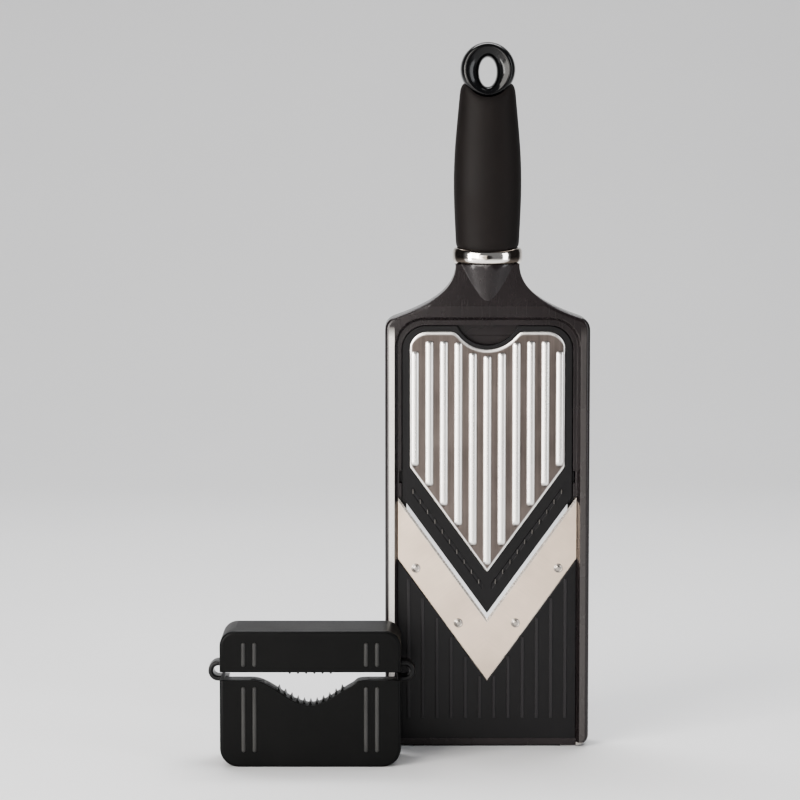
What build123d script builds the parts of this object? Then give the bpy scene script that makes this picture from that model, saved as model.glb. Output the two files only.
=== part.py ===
"""Hand-held V-blade mandoline slicer with a reversible insert and a sprung food holder.

The slicer stands on the flat end of its frame with the handle up. X runs across it, +Y points
to its open back and +Z towards the handle, so the slicing deck faces -Y. The origin is the middle
of the end foot. Millimetres throughout.
"""

import math
import os

from build123d import *

os.makedirs("parts", exist_ok=True)

# Overall sizes
LENGTH = 380.0  # end foot to handle tip
WIDTH = 110.0  # over both rails
DEPTH = 24.0  # rail fronts to skirt backs
HANDLE_LENGTH = 118.5  # collar and grip together
NECK_LENGTH = 28.3  # shoulder corner to collar

# Frame moulding
RAIL_WIDTH = 6.8
RAIL_RISE = 3.6  # rails above the landing deck
RAIL_ROUND = 2.2
RAIL_SLOPE = 26.0  # degrees that the rails' inner faces lean outward
SKIRT = 3.0
END_WALL = 3.5
END_RADIUS = 6.0
LEDGE = 4.7  # what the deck and the insert rest on
LEDGE_THICKNESS = 1.8
SILL = 11.7  # floor left between the end wall and the window
NECK_HALF = 17.0
NECK_THIN = 8.5  # half thickness of the shoulder wings where they meet the collar
CHANNEL_CORNER = 14.0
CHANNEL_TOP_GAP = 3.0  # insert top to channel top
SHOULDER_CORNER = 7.2
SHOULDER_RUN = 5.0  # how far in the rounded shoulder corner reaches
SHOULDER_SLOPE = 0.35
SHOULDER_FLARE = 0.55  # share of the way to the neck that follows that slope
WING_START = 6.0  # where the wings begin to thin, above the shoulder corner
SPINE_TOP = (17.6, 14.0)  # half width and half depth at the collar
SPINE_FOOT = (9.35, 11.2)
WINDOW_GAP = 12.0  # insert top to window top, which leaves a wall behind the notch
FOOT_SHIFT = 1.0  # foot middle behind the frame's middle

# Blade and deck
V_HALF_ANGLE = math.radians(36.0)
BLADE_APEX = 69.7  # inner point of the cutting edges above the floor
BLADE_DROP = 33.8  # inner point to outer point
BLADE_THICKNESS = 1.0
BLADE_BEVEL = 0.7
BLADE_INLAY = 0.5
BLADE_LIP = 3.2  # how far the edge stands past its platform
DECK_THICKNESS = 3.4
DECK_RIBS = 12
RIB_SPREAD = 0.15975  # rib pitch as a share of half the channel
RIB_WIDTH = 1.6
RIB_RISE = 0.5
RIB_START = 15.5
STIFFENERS = 4
STIFFENER_SPREAD = 0.3942  # stiffener pitch as a share of half the channel
STIFFENER_DEPTH = 5.4
RIVET_HEAD = 5.0
RIVET_SHANK = 3.0
RIVET_DOME = 0.6
RIVET_SPOTS = ((0.7967, 8.7), (0.3714, 7.0))  # share of half the channel, height above the outer V
BLADE_POCKET = 9.0  # how far the blade's seat runs up past its edge
DECK_PLAY = 0.1
RIB_END_GAP = 2.5
STIFFENER_WIDTH = 1.6
STIFFENER_END_GAP = 6.0

# Reversible insert
SEAT_CLEARANCE = 0.3
INSERT_THICKNESS = 5.0
INSERT_DROP = 1.0  # insert face below the deck face
INSERT_GAP = 3.0  # insert point above the inner blade point
INSERT_CORNER = 13.0
INSERT_TOP_GAP = 4.7  # shoulder corner to insert top
SHEET_THICKNESS = 0.8
JULIENNE_MARGIN = 4.45
JULIENNE_POINT = 22.9  # insert point to sheet point
SLICING_MARGIN = 1.6
RIDGES = 11
RIDGE_WIDTH = 3.2
RIDGE_RISE = 0.7
RIDGE_END_GAP = 5.5
RIDGE_FOOT_GAP = 1.5
RIDGE_NOTCH_GAP = 3.5
RIDGE_SIDE_GAP = 0.5
JULIENNE_CORNER = 9.7
SLICING_CORNER = 11.5
NOTCH_RADIUS = 18.0
NOTCH_RISE = 7.5  # notch centre above the insert top
NOTCH_BAND = 2.6
LUG = (1.2, 6.0)
LUG_INSET = 1.0  # below the insert faces
LUG_HEIGHT = 11.0  # above the insert's V corners
COMB_TEETH = 10
COMB_DEPTH = 2.0
COMB_HEIGHT = 10.0  # above the insert point
COMB_WIDTH = 2.5
TOOTH = (0.5, 2.4, 1.8)

# Handle
COLLAR = (37.7, 30.0, 8.3)
SPIGOT = (28.0, 21.0)
TANG = (16.0, 10.0)
TANG_SOCKET = 20.0
CAP_RADIUS = 14.7
CAP_DEPTH = 21.0
HANG_HOLE = (9.4, 15.6)
HANG_DROP = 1.3  # hole centre below the centre of the cap
HANG_ROUND = 1.4
CAP_ROUND = 3.2
COLLAR_ROUND = 1.4
GRIP_OVERLAP = 7.0  # the grip's tips below the middle of the cap
GRIP_SECTIONS = (  # share of the grip's length, width and depth
    (0.0, 33.8, 26.0),
    (0.2, 35.4, 27.0),
    (0.45, 36.2, 28.0),
    (0.75, 33.0, 25.0),
    (1.0, 29.4, 22.0),
)
TANG_TIP = 2.0  # the tang's end inside the cap
SCREW_HEAD = 6.0
SCREW_SHANK = 3.0
SCREW_DROPS = (6.0, 15.0)  # below the collar
SCREW_SINK = 2.5  # head seat below the back
SCREW_HEAD_HEIGHT = 1.6
SCREW_BITE = 6.5  # threads inside the tang
SCREW_PILOT = 7.0
SCREW_PLAY = 0.2
SCREW_CROSS = (4.0, 0.9, 0.8)  # length, width and depth of the drive slots

# End foot
FOOT = (80.0, 18.0, 3.0)
FOOT_PROUD = 0.8
FOOT_ROUND = 0.4

# Food holder
HOLDER_PLAY = 1.4  # channel width less holder width
HOLDER_HEIGHT = 72.0
HOLDER_DEPTH = 36.0
HOLDER_PARK = 94.0  # its middle to the left of the slicer's
HOLDER_GAP = 16.0  # rail fronts to holder back
HOLDER_WALL = 2.0
HOLDER_TOP_RADIUS = 8.0
HOLDER_FOOT_RADIUS = 10.0
HOLDER_ROUND = 1.6
SLOT_BOTTOM = 46.1
SLOT_HEIGHT = 4.2
LENS_DROP = 13.3
LENS_HALF = 31.0
JAW_THICKNESS = 2.0
JAW_DEPTH = 10.0
UPPER_TEETH = 6
UPPER_TOOTH = (4.3, 2.6, 1.3)  # pitch, width, height
LOWER_TEETH = 11
LOWER_TOOTH = (3.3, 2.2, 2.0)
SQUEEZE = 2.4  # travel of the upper half
EAR_HEIGHT = 11.0
EAR_WALL = 2.8
EAR_DEPTH = 12.0
EAR_DROP = 1.4
GRIP_OFFSETS = (29.2, 35.0)
GRIP_WIDTH = 2.2
GRIP_RISE = 0.9
UPPER_GRIP_GAPS = (3.0, 6.0)  # slot to bar, bar to top
LOWER_GRIP_GAPS = (8.0, 3.5)  # foot to bar, bar to slot
TOOTH_ROOT = 0.6  # how far the jaw teeth sink into their jaw
EAR_ROOT = 1.5  # how far the ears reach past the side walls

# Places worked out from the sizes above
HALF = WIDTH / 2
CHANNEL_HALF = HALF - RAIL_WIDTH
RIB_PITCH = RIB_SPREAD * CHANNEL_HALF
STIFFENER_PITCH = STIFFENER_SPREAD * CHANNEL_HALF
RIVET_PLACES = [(share * CHANNEL_HALF, rise) for share, rise in RIVET_SPOTS]
HOLDER_WIDTH = 2 * CHANNEL_HALF - HOLDER_PLAY
EAR_SPAN = WIDTH
FRONT = -DEPTH / 2
BACK = DEPTH / 2
NECK_TOP = LENGTH - HANDLE_LENGTH
SHOULDER = NECK_TOP - NECK_LENGTH
DECK_FRONT = FRONT + RAIL_RISE
DECK_BACK = DECK_FRONT + DECK_THICKNESS
BLADE_BACK = DECK_FRONT + BLADE_INLAY
BLADE_FRONT = BLADE_BACK - BLADE_THICKNESS
OUTER_APEX = BLADE_APEX - BLADE_DROP
FRAME_END = FOOT_PROUD
FLOOR_TOP = FRAME_END + END_WALL
INSERT_FRONT = DECK_FRONT + INSERT_DROP
INSERT_BACK = INSERT_FRONT + INSERT_THICKNESS
INSERT_HALF = CHANNEL_HALF - 2.0 - SEAT_CLEARANCE
INSERT_TOP = SHOULDER - INSERT_TOP_GAP
INSERT_APEX = BLADE_APEX + INSERT_GAP
NOTCH_Z = INSERT_TOP + NOTCH_RISE
SEAT_BACK = INSERT_BACK + SEAT_CLEARANCE
LEDGE_BACK = SEAT_BACK + LEDGE_THICKNESS
WINDOW_HALF = CHANNEL_HALF - LEDGE
HOLLOW_HALF = HALF - SKIRT
CAP_Z = LENGTH - CAP_RADIUS
HANG_Z = CAP_Z - HANG_DROP
GRIP_START = NECK_TOP + COLLAR[2]
TANG_TOP = CAP_Z - CAP_RADIUS + TANG_TIP
SCREW_SEAT = BACK - SCREW_SINK
SCREW_HEIGHTS = [NECK_TOP - drop for drop in SCREW_DROPS]
CUT = 1.0  # how far cutting shapes run past the faces they cut
HOLDER_BACK = FRONT - HOLDER_GAP
HOLDER_FRONT = HOLDER_BACK - HOLDER_DEPTH
SLOT_TOP = SLOT_BOTTOM + SLOT_HEIGHT
EAR_Z = SLOT_BOTTOM + SLOT_HEIGHT / 2 - EAR_DROP


def facing(y):
    """Upright plane at this y that faces the user, with x to the right and z up."""
    return Plane.XZ.offset(-y)


def v_height(apex, x):
    """Height of a V line with its point at this height, this far from the middle."""
    return apex + abs(x) / math.tan(V_HALF_ANGLE)


def notch_height(band, x):
    """Height of the finger notch's edge, this far outside the notch in the insert."""
    radius = NOTCH_RADIUS + band
    return NOTCH_Z - math.sqrt(radius**2 - x**2) if abs(x) < radius else NOTCH_Z


def lens_height(x):
    """Height of the food slot's lower edge, this far from the holder's middle."""
    if abs(x) >= LENS_HALF:
        return SLOT_BOTTOM
    return SLOT_BOTTOM - LENS_DROP * (1 + math.cos(math.pi * x / LENS_HALF)) / 2


def shield(y, half, top, apex, corner, band):
    """Insert outline: straight sides, rounded top corners, a finger notch and a V foot."""
    with BuildSketch(facing(y), mode=Mode.PRIVATE) as outline:
        side = v_height(apex, half)
        with BuildLine():
            Polyline((0, apex), (half, side), (half, top), (-half, top), (-half, side), close=True)
        make_face()
        fillet(outline.vertices().group_by(Axis.Y)[-1], corner)
        with Locations((0, NOTCH_Z)):
            Circle(NOTCH_RADIUS + band, mode=Mode.SUBTRACT)
    return outline.sketch


def v_band(y, half, inner_apex, outer_apex):
    """V-shaped band across the channel between two V lines."""
    with BuildSketch(facing(y), mode=Mode.PRIVATE) as outline:
        with BuildLine():
            Polyline(
                (0, outer_apex),
                (half, v_height(outer_apex, half)),
                (half, v_height(inner_apex, half)),
                (0, inner_apex),
                (-half, v_height(inner_apex, half)),
                (-half, v_height(outer_apex, half)),
                close=True,
            )
        make_face()
    return outline.sketch


def upright_box(x_span, y_span, z_span):
    """Box between these limits, added to or cut from the part being built by the caller."""
    centre = [(low + high) / 2 for low, high in (x_span, y_span, z_span)]
    size = [high - low for low, high in (x_span, y_span, z_span)]
    return Pos(*centre) * Box(*size, mode=Mode.PRIVATE)


def finish(piece, name):
    """Label a finished piece and write its file."""
    piece.part.label = name
    export_step(piece.part, f"parts/{name}.step")


# ---------------------------------------------------------------- frame moulding
with BuildPart() as frame_body:
    with BuildSketch(facing(BACK)) as outline:
        with BuildLine():
            Polyline((0, FRAME_END), (HALF, FRAME_END), (HALF, SHOULDER - SHOULDER_CORNER))
            corner_end = (HALF - SHOULDER_RUN, SHOULDER)
            corner_peak = (HALF, SHOULDER - SHOULDER_RUN * SHOULDER_SLOPE)
            Bezier((HALF, SHOULDER - SHOULDER_CORNER), corner_peak, corner_end)
            flare = (corner_end[0] - NECK_HALF) * SHOULDER_FLARE
            Bezier(
                corner_end,
                (corner_end[0] - flare, SHOULDER + flare * SHOULDER_SLOPE),
                (NECK_HALF, NECK_TOP - NECK_LENGTH / 2),
                (NECK_HALF, NECK_TOP),
            )
            Polyline((NECK_HALF, NECK_TOP), (0, NECK_TOP), (0, FRAME_END))
        make_face()
        mirror(about=Plane.YZ)
        corners = [v for v in outline.vertices().group_by(Axis.Y)[0] if abs(v.X) > 1]
        fillet(corners, END_RADIUS)
    extrude(amount=DEPTH)
    fillet(frame_body.faces().sort_by(Axis.Y)[0].edges(), RAIL_ROUND)
    # The wings slope back to the thickness of the neck
    for side in (-1, 1):
        with BuildSketch(Plane.YZ.offset(-HALF)):
            with BuildLine():
                Polyline(
                    (side * BACK, SHOULDER + WING_START),
                    (side * NECK_THIN, NECK_TOP),
                    (side * NECK_THIN, NECK_TOP + CUT),
                    (side * (BACK + CUT), NECK_TOP + CUT),
                    (side * (BACK + CUT), SHOULDER + WING_START),
                    close=True,
                )
            make_face()
        extrude(amount=WIDTH, mode=Mode.SUBTRACT)
    # Rounded spine of the neck, which sinks into the wings at a point
    with BuildSketch(Plane.XY.offset(NECK_TOP)):
        Ellipse(*SPINE_TOP)
    with BuildSketch(Plane.XY.offset(SHOULDER + WING_START)):
        Ellipse(*SPINE_FOOT)
    loft()
    with BuildSketch(Plane.XY.offset(NECK_TOP)):
        Ellipse(SPIGOT[0] / 2, SPIGOT[1] / 2)
    extrude(amount=COLLAR[2])
    # Channel, deck pocket, insert seat, window and open back
    with BuildSketch(facing(DECK_FRONT)) as channel:
        with Locations((0, (INSERT_TOP + CHANNEL_TOP_GAP) / 2)):
            Rectangle(2 * CHANNEL_HALF, INSERT_TOP + CHANNEL_TOP_GAP)
        fillet(channel.vertices().group_by(Axis.Y)[-1], CHANNEL_CORNER)
    extrude(amount=RAIL_RISE, taper=-RAIL_SLOPE, mode=Mode.SUBTRACT)
    deck_top = v_height(BLADE_APEX, CHANNEL_HALF) + SEAT_CLEARANCE
    add(
        upright_box((-CHANNEL_HALF, CHANNEL_HALF), (DECK_FRONT, DECK_BACK), (FLOOR_TOP, deck_top)),
        mode=Mode.SUBTRACT,
    )
    with BuildSketch(facing(SEAT_BACK)) as seat:
        low = v_height(INSERT_APEX, WINDOW_HALF) - CUT
        high = INSERT_TOP + SEAT_CLEARANCE
        with Locations((0, (low + high) / 2)):
            Rectangle(2 * (INSERT_HALF + SEAT_CLEARANCE), high - low)
        fillet(seat.vertices().group_by(Axis.Y)[-1], INSERT_CORNER)
    extrude(amount=SEAT_BACK - DECK_FRONT, mode=Mode.SUBTRACT)
    lug_z = v_height(INSERT_APEX, INSERT_HALF) + LUG_HEIGHT
    lug_reach = INSERT_HALF + LUG[0] + SEAT_CLEARANCE
    lug_room = LUG[1] / 2 + SEAT_CLEARANCE
    add(
        upright_box((-lug_reach, lug_reach), (DECK_FRONT, SEAT_BACK), (lug_z - lug_room, lug_z + lug_room)),
        mode=Mode.SUBTRACT,
    )
    add(
        upright_box(
            (-WINDOW_HALF, WINDOW_HALF),
            (DECK_BACK, LEDGE_BACK),
            (FLOOR_TOP + SILL, INSERT_TOP - WINDOW_GAP),
        ),
        mode=Mode.SUBTRACT,
    )
    # Room for the ends of the slicing ridges in the wall above the window
    add(
        upright_box(
            (-WINDOW_HALF, WINDOW_HALF),
            (DECK_BACK, SEAT_BACK + RIDGE_RISE),
            (INSERT_TOP - WINDOW_GAP - CUT, INSERT_TOP - RIDGE_END_GAP),
        ),
        mode=Mode.SUBTRACT,
    )
    with BuildSketch(facing(BACK)) as hollow:
        high = SHOULDER - SKIRT
        with Locations((0, (FLOOR_TOP + high) / 2)):
            Rectangle(2 * HOLLOW_HALF, high - FLOOR_TOP)
        fillet(hollow.vertices(), SKIRT)
    extrude(amount=BACK - LEDGE_BACK, mode=Mode.SUBTRACT)
    # Sockets for the tang, its screws and the end foot
    add(
        upright_box(
            (-TANG[0] / 2, TANG[0] / 2),
            (-TANG[1] / 2, TANG[1] / 2),
            (NECK_TOP - TANG_SOCKET, GRIP_START),
        ),
        mode=Mode.SUBTRACT,
    )
    for height in SCREW_HEIGHTS:
        with BuildSketch(facing(BACK + CUT)):
            with Locations((0, height)):
                Circle(SCREW_HEAD / 2)
        extrude(amount=SCREW_SINK + CUT, mode=Mode.SUBTRACT)
        with BuildSketch(facing(BACK)):
            with Locations((0, height)):
                Circle(SCREW_SHANK / 2)
        extrude(amount=BACK - TANG[1] / 2, mode=Mode.SUBTRACT)
    add(
        upright_box(
            (-FOOT[0] / 2, FOOT[0] / 2),
            (FOOT_SHIFT - FOOT[1] / 2, FOOT_SHIFT + FOOT[1] / 2),
            (0, FOOT[2]),
        ),
        mode=Mode.SUBTRACT,
    )
finish(frame_body, "frame_body")

with BuildPart() as end_foot:
    with BuildSketch(Plane.XY):
        with Locations((0, FOOT_SHIFT)):
            Rectangle(FOOT[0], FOOT[1])
    extrude(amount=FOOT[2])
    fillet(end_foot.faces().sort_by(Axis.Z)[0].edges(), FOOT_ROUND)
finish(end_foot, "end_foot")

# ---------------------------------------------------------------- landing deck and blade
with BuildPart() as landing_deck:
    deck_half = CHANNEL_HALF - DECK_PLAY
    deck_v = BLADE_APEX - BLADE_LIP
    with BuildSketch(facing(DECK_BACK)):
        with BuildLine():
            Polyline(
                (-deck_half, FLOOR_TOP),
                (deck_half, FLOOR_TOP),
                (deck_half, v_height(deck_v, deck_half)),
                (0, deck_v),
                (-deck_half, v_height(deck_v, deck_half)),
                close=True,
            )
        make_face()
    extrude(amount=DECK_THICKNESS)
    extrude(
        v_band(BLADE_BACK, HALF, BLADE_APEX + BLADE_POCKET, OUTER_APEX - SEAT_CLEARANCE),
        amount=BLADE_THICKNESS + CUT,
        mode=Mode.SUBTRACT,
    )
    for index in range(DECK_RIBS):
        x = (index - (DECK_RIBS - 1) / 2) * RIB_PITCH
        top = v_height(OUTER_APEX, x) - RIB_END_GAP
        with BuildSketch(facing(DECK_FRONT)):
            with Locations((x, (RIB_START + top) / 2)):
                Rectangle(RIB_WIDTH, top - RIB_START)
        extrude(amount=RIB_RISE)
    for index in range(STIFFENERS):
        x = (index - (STIFFENERS - 1) / 2) * STIFFENER_PITCH
        top = v_height(deck_v, x) - STIFFENER_END_GAP
        low = FLOOR_TOP + SILL + CUT
        with BuildSketch(facing(DECK_BACK + STIFFENER_DEPTH)):
            with Locations((x, (low + top) / 2)):
                Rectangle(STIFFENER_WIDTH, top - low)
        extrude(amount=STIFFENER_DEPTH)
    for x, rise in RIVET_PLACES:
        for side in (-1, 1):
            with BuildSketch(facing(BACK)):
                with Locations((side * x, v_height(OUTER_APEX, x) + rise)):
                    Circle(RIVET_SHANK / 2)
            extrude(amount=DEPTH, mode=Mode.SUBTRACT)
finish(landing_deck, "landing_deck")

with BuildPart() as v_blade:
    extrude(v_band(BLADE_BACK, CHANNEL_HALF - DECK_PLAY, BLADE_APEX, OUTER_APEX), amount=BLADE_THICKNESS)
    front_edges = v_blade.faces().sort_by(Axis.Y)[0].edges()
    slanted = [e for e in front_edges if abs(e.tangent_at(0.5).X) > 0.1]
    cutting = [e for e in slanted if e.center().Z > v_height(BLADE_APEX, e.center().X) - 1]
    chamfer(cutting, BLADE_BEVEL)
    for x, rise in RIVET_PLACES:
        for side in (-1, 1):
            with BuildSketch(facing(BACK)):
                with Locations((side * x, v_height(OUTER_APEX, x) + rise)):
                    Circle(RIVET_SHANK / 2)
            extrude(amount=DEPTH, mode=Mode.SUBTRACT)
finish(v_blade, "v_blade")

with BuildPart() as blade_rivets:
    for x, rise in RIVET_PLACES:
        for side in (-1, 1):
            place = (side * x, v_height(OUTER_APEX, x) + rise)
            with BuildSketch(facing(DECK_BACK + RIVET_DOME)):
                with Locations(place):
                    Circle(RIVET_HEAD / 2)
            extrude(amount=RIVET_DOME)
            with BuildSketch(facing(DECK_BACK)):
                with Locations(place):
                    Circle(RIVET_SHANK / 2)
            extrude(amount=DECK_BACK - BLADE_FRONT)
            with BuildSketch(facing(BLADE_FRONT)):
                with Locations(place):
                    Circle(RIVET_HEAD / 2)
            extrude(amount=RIVET_DOME)
    crowns = blade_rivets.faces().sort_by(Axis.Y)[:4]
    fillet([e for face in crowns for e in face.edges()], RIVET_DOME * 0.8)
finish(blade_rivets, "blade_rivets")

# ---------------------------------------------------------------- reversible insert
JULIENNE_HALF = INSERT_HALF - JULIENNE_MARGIN
JULIENNE_TOP = INSERT_TOP - JULIENNE_MARGIN + 1
JULIENNE_APEX = INSERT_APEX + JULIENNE_POINT
SLICING_HALF = INSERT_HALF - SLICING_MARGIN
SLICING_TOP = INSERT_TOP - SLICING_MARGIN
SLICING_APEX = INSERT_APEX + SLICING_MARGIN / math.sin(V_HALF_ANGLE)


def comb_strip(side):
    """Slanted strip that carries one row of julienne teeth."""
    inner = COMB_WIDTH
    outer = inner + (COMB_TEETH - 0.5) * JULIENNE_HALF / (COMB_TEETH + 0.5)
    low = INSERT_APEX + COMB_HEIGHT
    high = low + COMB_WIDTH
    with BuildSketch(facing(INSERT_FRONT + COMB_DEPTH), mode=Mode.PRIVATE) as strip:
        with BuildLine():
            Polyline(
                (side * inner, v_height(low, inner)),
                (side * outer, v_height(low, outer)),
                (side * outer, v_height(high, outer)),
                (side * inner, v_height(high, inner)),
                close=True,
            )
        make_face()
    return strip.sketch


with BuildPart() as insert_carrier:
    extrude(
        shield(INSERT_BACK, INSERT_HALF, INSERT_TOP, INSERT_APEX, INSERT_CORNER, 0),
        amount=INSERT_THICKNESS,
    )
    extrude(
        shield(
            INSERT_FRONT + SHEET_THICKNESS,
            JULIENNE_HALF,
            JULIENNE_TOP,
            JULIENNE_APEX,
            JULIENNE_CORNER,
            NOTCH_BAND,
        ),
        amount=SHEET_THICKNESS + CUT,
        mode=Mode.SUBTRACT,
    )
    extrude(
        shield(
            INSERT_BACK + CUT,
            SLICING_HALF,
            SLICING_TOP,
            SLICING_APEX,
            SLICING_CORNER,
            NOTCH_BAND,
        ),
        amount=SHEET_THICKNESS + CUT,
        mode=Mode.SUBTRACT,
    )
    for side in (-1, 1):
        extrude(comb_strip(side), amount=COMB_DEPTH, mode=Mode.SUBTRACT)
        lug_end = side * (INSERT_HALF + LUG[0])
        lug_root = side * (INSERT_HALF - CUT)
        add(
            upright_box(
                (min(lug_root, lug_end), max(lug_root, lug_end)),
                (INSERT_FRONT + LUG_INSET, INSERT_BACK - LUG_INSET),
                (lug_z - LUG[1] / 2, lug_z + LUG[1] / 2),
            )
        )
finish(insert_carrier, "insert_carrier")

for name, half, top, apex, corner, is_front in (
    ("julienne_sheet", JULIENNE_HALF, JULIENNE_TOP, JULIENNE_APEX, JULIENNE_CORNER, True),
    ("slicing_sheet", SLICING_HALF, SLICING_TOP, SLICING_APEX, SLICING_CORNER, False),
):
    base = INSERT_FRONT + SHEET_THICKNESS if is_front else INSERT_BACK
    face = INSERT_FRONT if is_front else INSERT_BACK
    outward = -1 if is_front else 1
    pitch = (2 * half - RIDGE_WIDTH - 2 * RIDGE_SIDE_GAP) / (RIDGES - 1)
    with BuildPart() as sheet:
        extrude(shield(base, half, top, apex, corner, NOTCH_BAND), amount=SHEET_THICKNESS)
        for index in range(RIDGES):
            x = (index - (RIDGES - 1) / 2) * pitch
            # The outermost ridges stop short of the rounded corners
            inset = corner * 0.6 if index in (0, RIDGES - 1) else 0
            ridge_top = min(top - RIDGE_END_GAP - inset, notch_height(NOTCH_BAND, x) - RIDGE_NOTCH_GAP)
            ridge_foot = v_height(apex, abs(x) + RIDGE_WIDTH / 2) + RIDGE_FOOT_GAP
            with BuildSketch(Plane.XY.offset(ridge_foot)):
                with BuildLine():
                    ThreePointArc(
                        (x - RIDGE_WIDTH / 2, face),
                        (x, face + outward * RIDGE_RISE),
                        (x + RIDGE_WIDTH / 2, face),
                    )
                    Line((x + RIDGE_WIDTH / 2, face), (x - RIDGE_WIDTH / 2, face))
                make_face()
            extrude(amount=ridge_top - ridge_foot)
    finish(sheet, name)

for name, side in (("julienne_blades_left", -1), ("julienne_blades_right", 1)):
    with BuildPart() as comb:
        extrude(comb_strip(side), amount=COMB_DEPTH)
        for index in range(COMB_TEETH):
            x = COMB_WIDTH + (index + 0.5) * JULIENNE_HALF / (COMB_TEETH + 0.5)
            z = v_height(INSERT_APEX + COMB_HEIGHT + COMB_WIDTH / 2, x)
            with BuildSketch(facing(INSERT_FRONT)):
                with Locations((side * x, z)):
                    Rectangle(TOOTH[0], TOOTH[1])
            extrude(amount=TOOTH[2])
    finish(comb, name)

# ---------------------------------------------------------------- handle
with BuildPart() as handle_collar:
    with BuildSketch(Plane.XY.offset(NECK_TOP)):
        Ellipse(COLLAR[0] / 2, COLLAR[1] / 2)
    extrude(amount=COLLAR[2])
    fillet(handle_collar.edges(), COLLAR_ROUND)
    with BuildSketch(Plane.XY.offset(NECK_TOP - CUT)):
        Ellipse(SPIGOT[0] / 2, SPIGOT[1] / 2)
    extrude(amount=COLLAR[2] + 2 * CUT, mode=Mode.SUBTRACT)
finish(handle_collar, "handle_collar")

with BuildPart() as handle_tang:
    with BuildSketch(Plane.XY.offset(NECK_TOP - TANG_SOCKET)):
        Rectangle(TANG[0], TANG[1])
    extrude(amount=TANG_TOP - NECK_TOP + TANG_SOCKET)
    for height in SCREW_HEIGHTS:
        with BuildSketch(facing(TANG[1] / 2)):
            with Locations((0, height)):
                Circle(SCREW_SHANK / 2)
        extrude(amount=SCREW_PILOT, mode=Mode.SUBTRACT)
finish(handle_tang, "handle_tang")

with BuildPart() as tang_screws:
    cross_length, cross_width, cross_depth = SCREW_CROSS
    for height in SCREW_HEIGHTS:
        with BuildSketch(facing(SCREW_SEAT)):
            with Locations((0, height)):
                Circle(SCREW_SHANK / 2)
        extrude(amount=SCREW_SEAT - TANG[1] / 2 + SCREW_BITE)
        with BuildSketch(facing(SCREW_SEAT + SCREW_HEAD_HEIGHT)):
            with Locations((0, height)):
                Circle(SCREW_HEAD / 2 - SCREW_PLAY)
        extrude(amount=SCREW_HEAD_HEIGHT)
        with BuildSketch(facing(SCREW_SEAT + SCREW_HEAD_HEIGHT)):
            with Locations((0, height)):
                Rectangle(cross_length, cross_width)
                Rectangle(cross_width, cross_length)
        extrude(amount=cross_depth, mode=Mode.SUBTRACT)
finish(tang_screws, "tang_screws")

with BuildPart() as handle_grip:
    span = CAP_Z - GRIP_OVERLAP - GRIP_START
    for share, width, depth in GRIP_SECTIONS:
        with BuildSketch(Plane.XY.offset(GRIP_START + share * span)):
            Ellipse(width / 2, depth / 2)
    loft()
    with BuildSketch(facing(DEPTH)):
        with Locations((0, CAP_Z)):
            Circle(CAP_RADIUS)
    extrude(amount=2 * DEPTH, mode=Mode.SUBTRACT)
    add(
        upright_box((-TANG[0] / 2, TANG[0] / 2), (-TANG[1] / 2, TANG[1] / 2), (GRIP_START - CUT, TANG_TOP)),
        mode=Mode.SUBTRACT,
    )
finish(handle_grip, "handle_grip")

with BuildPart() as handle_end_cap:
    with BuildSketch(facing(CAP_DEPTH / 2)):
        with Locations((0, CAP_Z)):
            Circle(CAP_RADIUS)
    extrude(amount=CAP_DEPTH)
    fillet(handle_end_cap.edges().filter_by(GeomType.CIRCLE), CAP_ROUND)
    with BuildSketch(facing(CAP_DEPTH / 2)):
        with Locations((0, HANG_Z)):
            SlotOverall(HANG_HOLE[1], HANG_HOLE[0], rotation=90)
    extrude(amount=CAP_DEPTH, mode=Mode.SUBTRACT)
    cap_faces = handle_end_cap.faces().filter_by(Axis.Y).sort_by(Axis.Y)
    rims = [edge for face in (cap_faces[0], cap_faces[-1]) for edge in face.inner_wires()[0].edges()]
    fillet(rims, HANG_ROUND)
    add(
        upright_box((-TANG[0] / 2, TANG[0] / 2), (-TANG[1] / 2, TANG[1] / 2), (GRIP_START, TANG_TOP)),
        mode=Mode.SUBTRACT,
    )
finish(handle_end_cap, "handle_end_cap")

# ---------------------------------------------------------------- food holder
HOLDER_HALF = HOLDER_WIDTH / 2
INNER_HALF = HOLDER_HALF - HOLDER_WALL
EAR_LOW = EAR_Z - EAR_HEIGHT / 2
EAR_HIGH = EAR_Z + EAR_HEIGHT / 2


def lens_points(half, drop):
    """Points along the lower edge of the food slot, moved down by this much."""
    steps = 8
    xs = [half * (2 * i / steps - 1) for i in range(steps + 1)]
    return [(x - HOLDER_PARK, lens_height(x) - drop) for x in xs]


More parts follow.
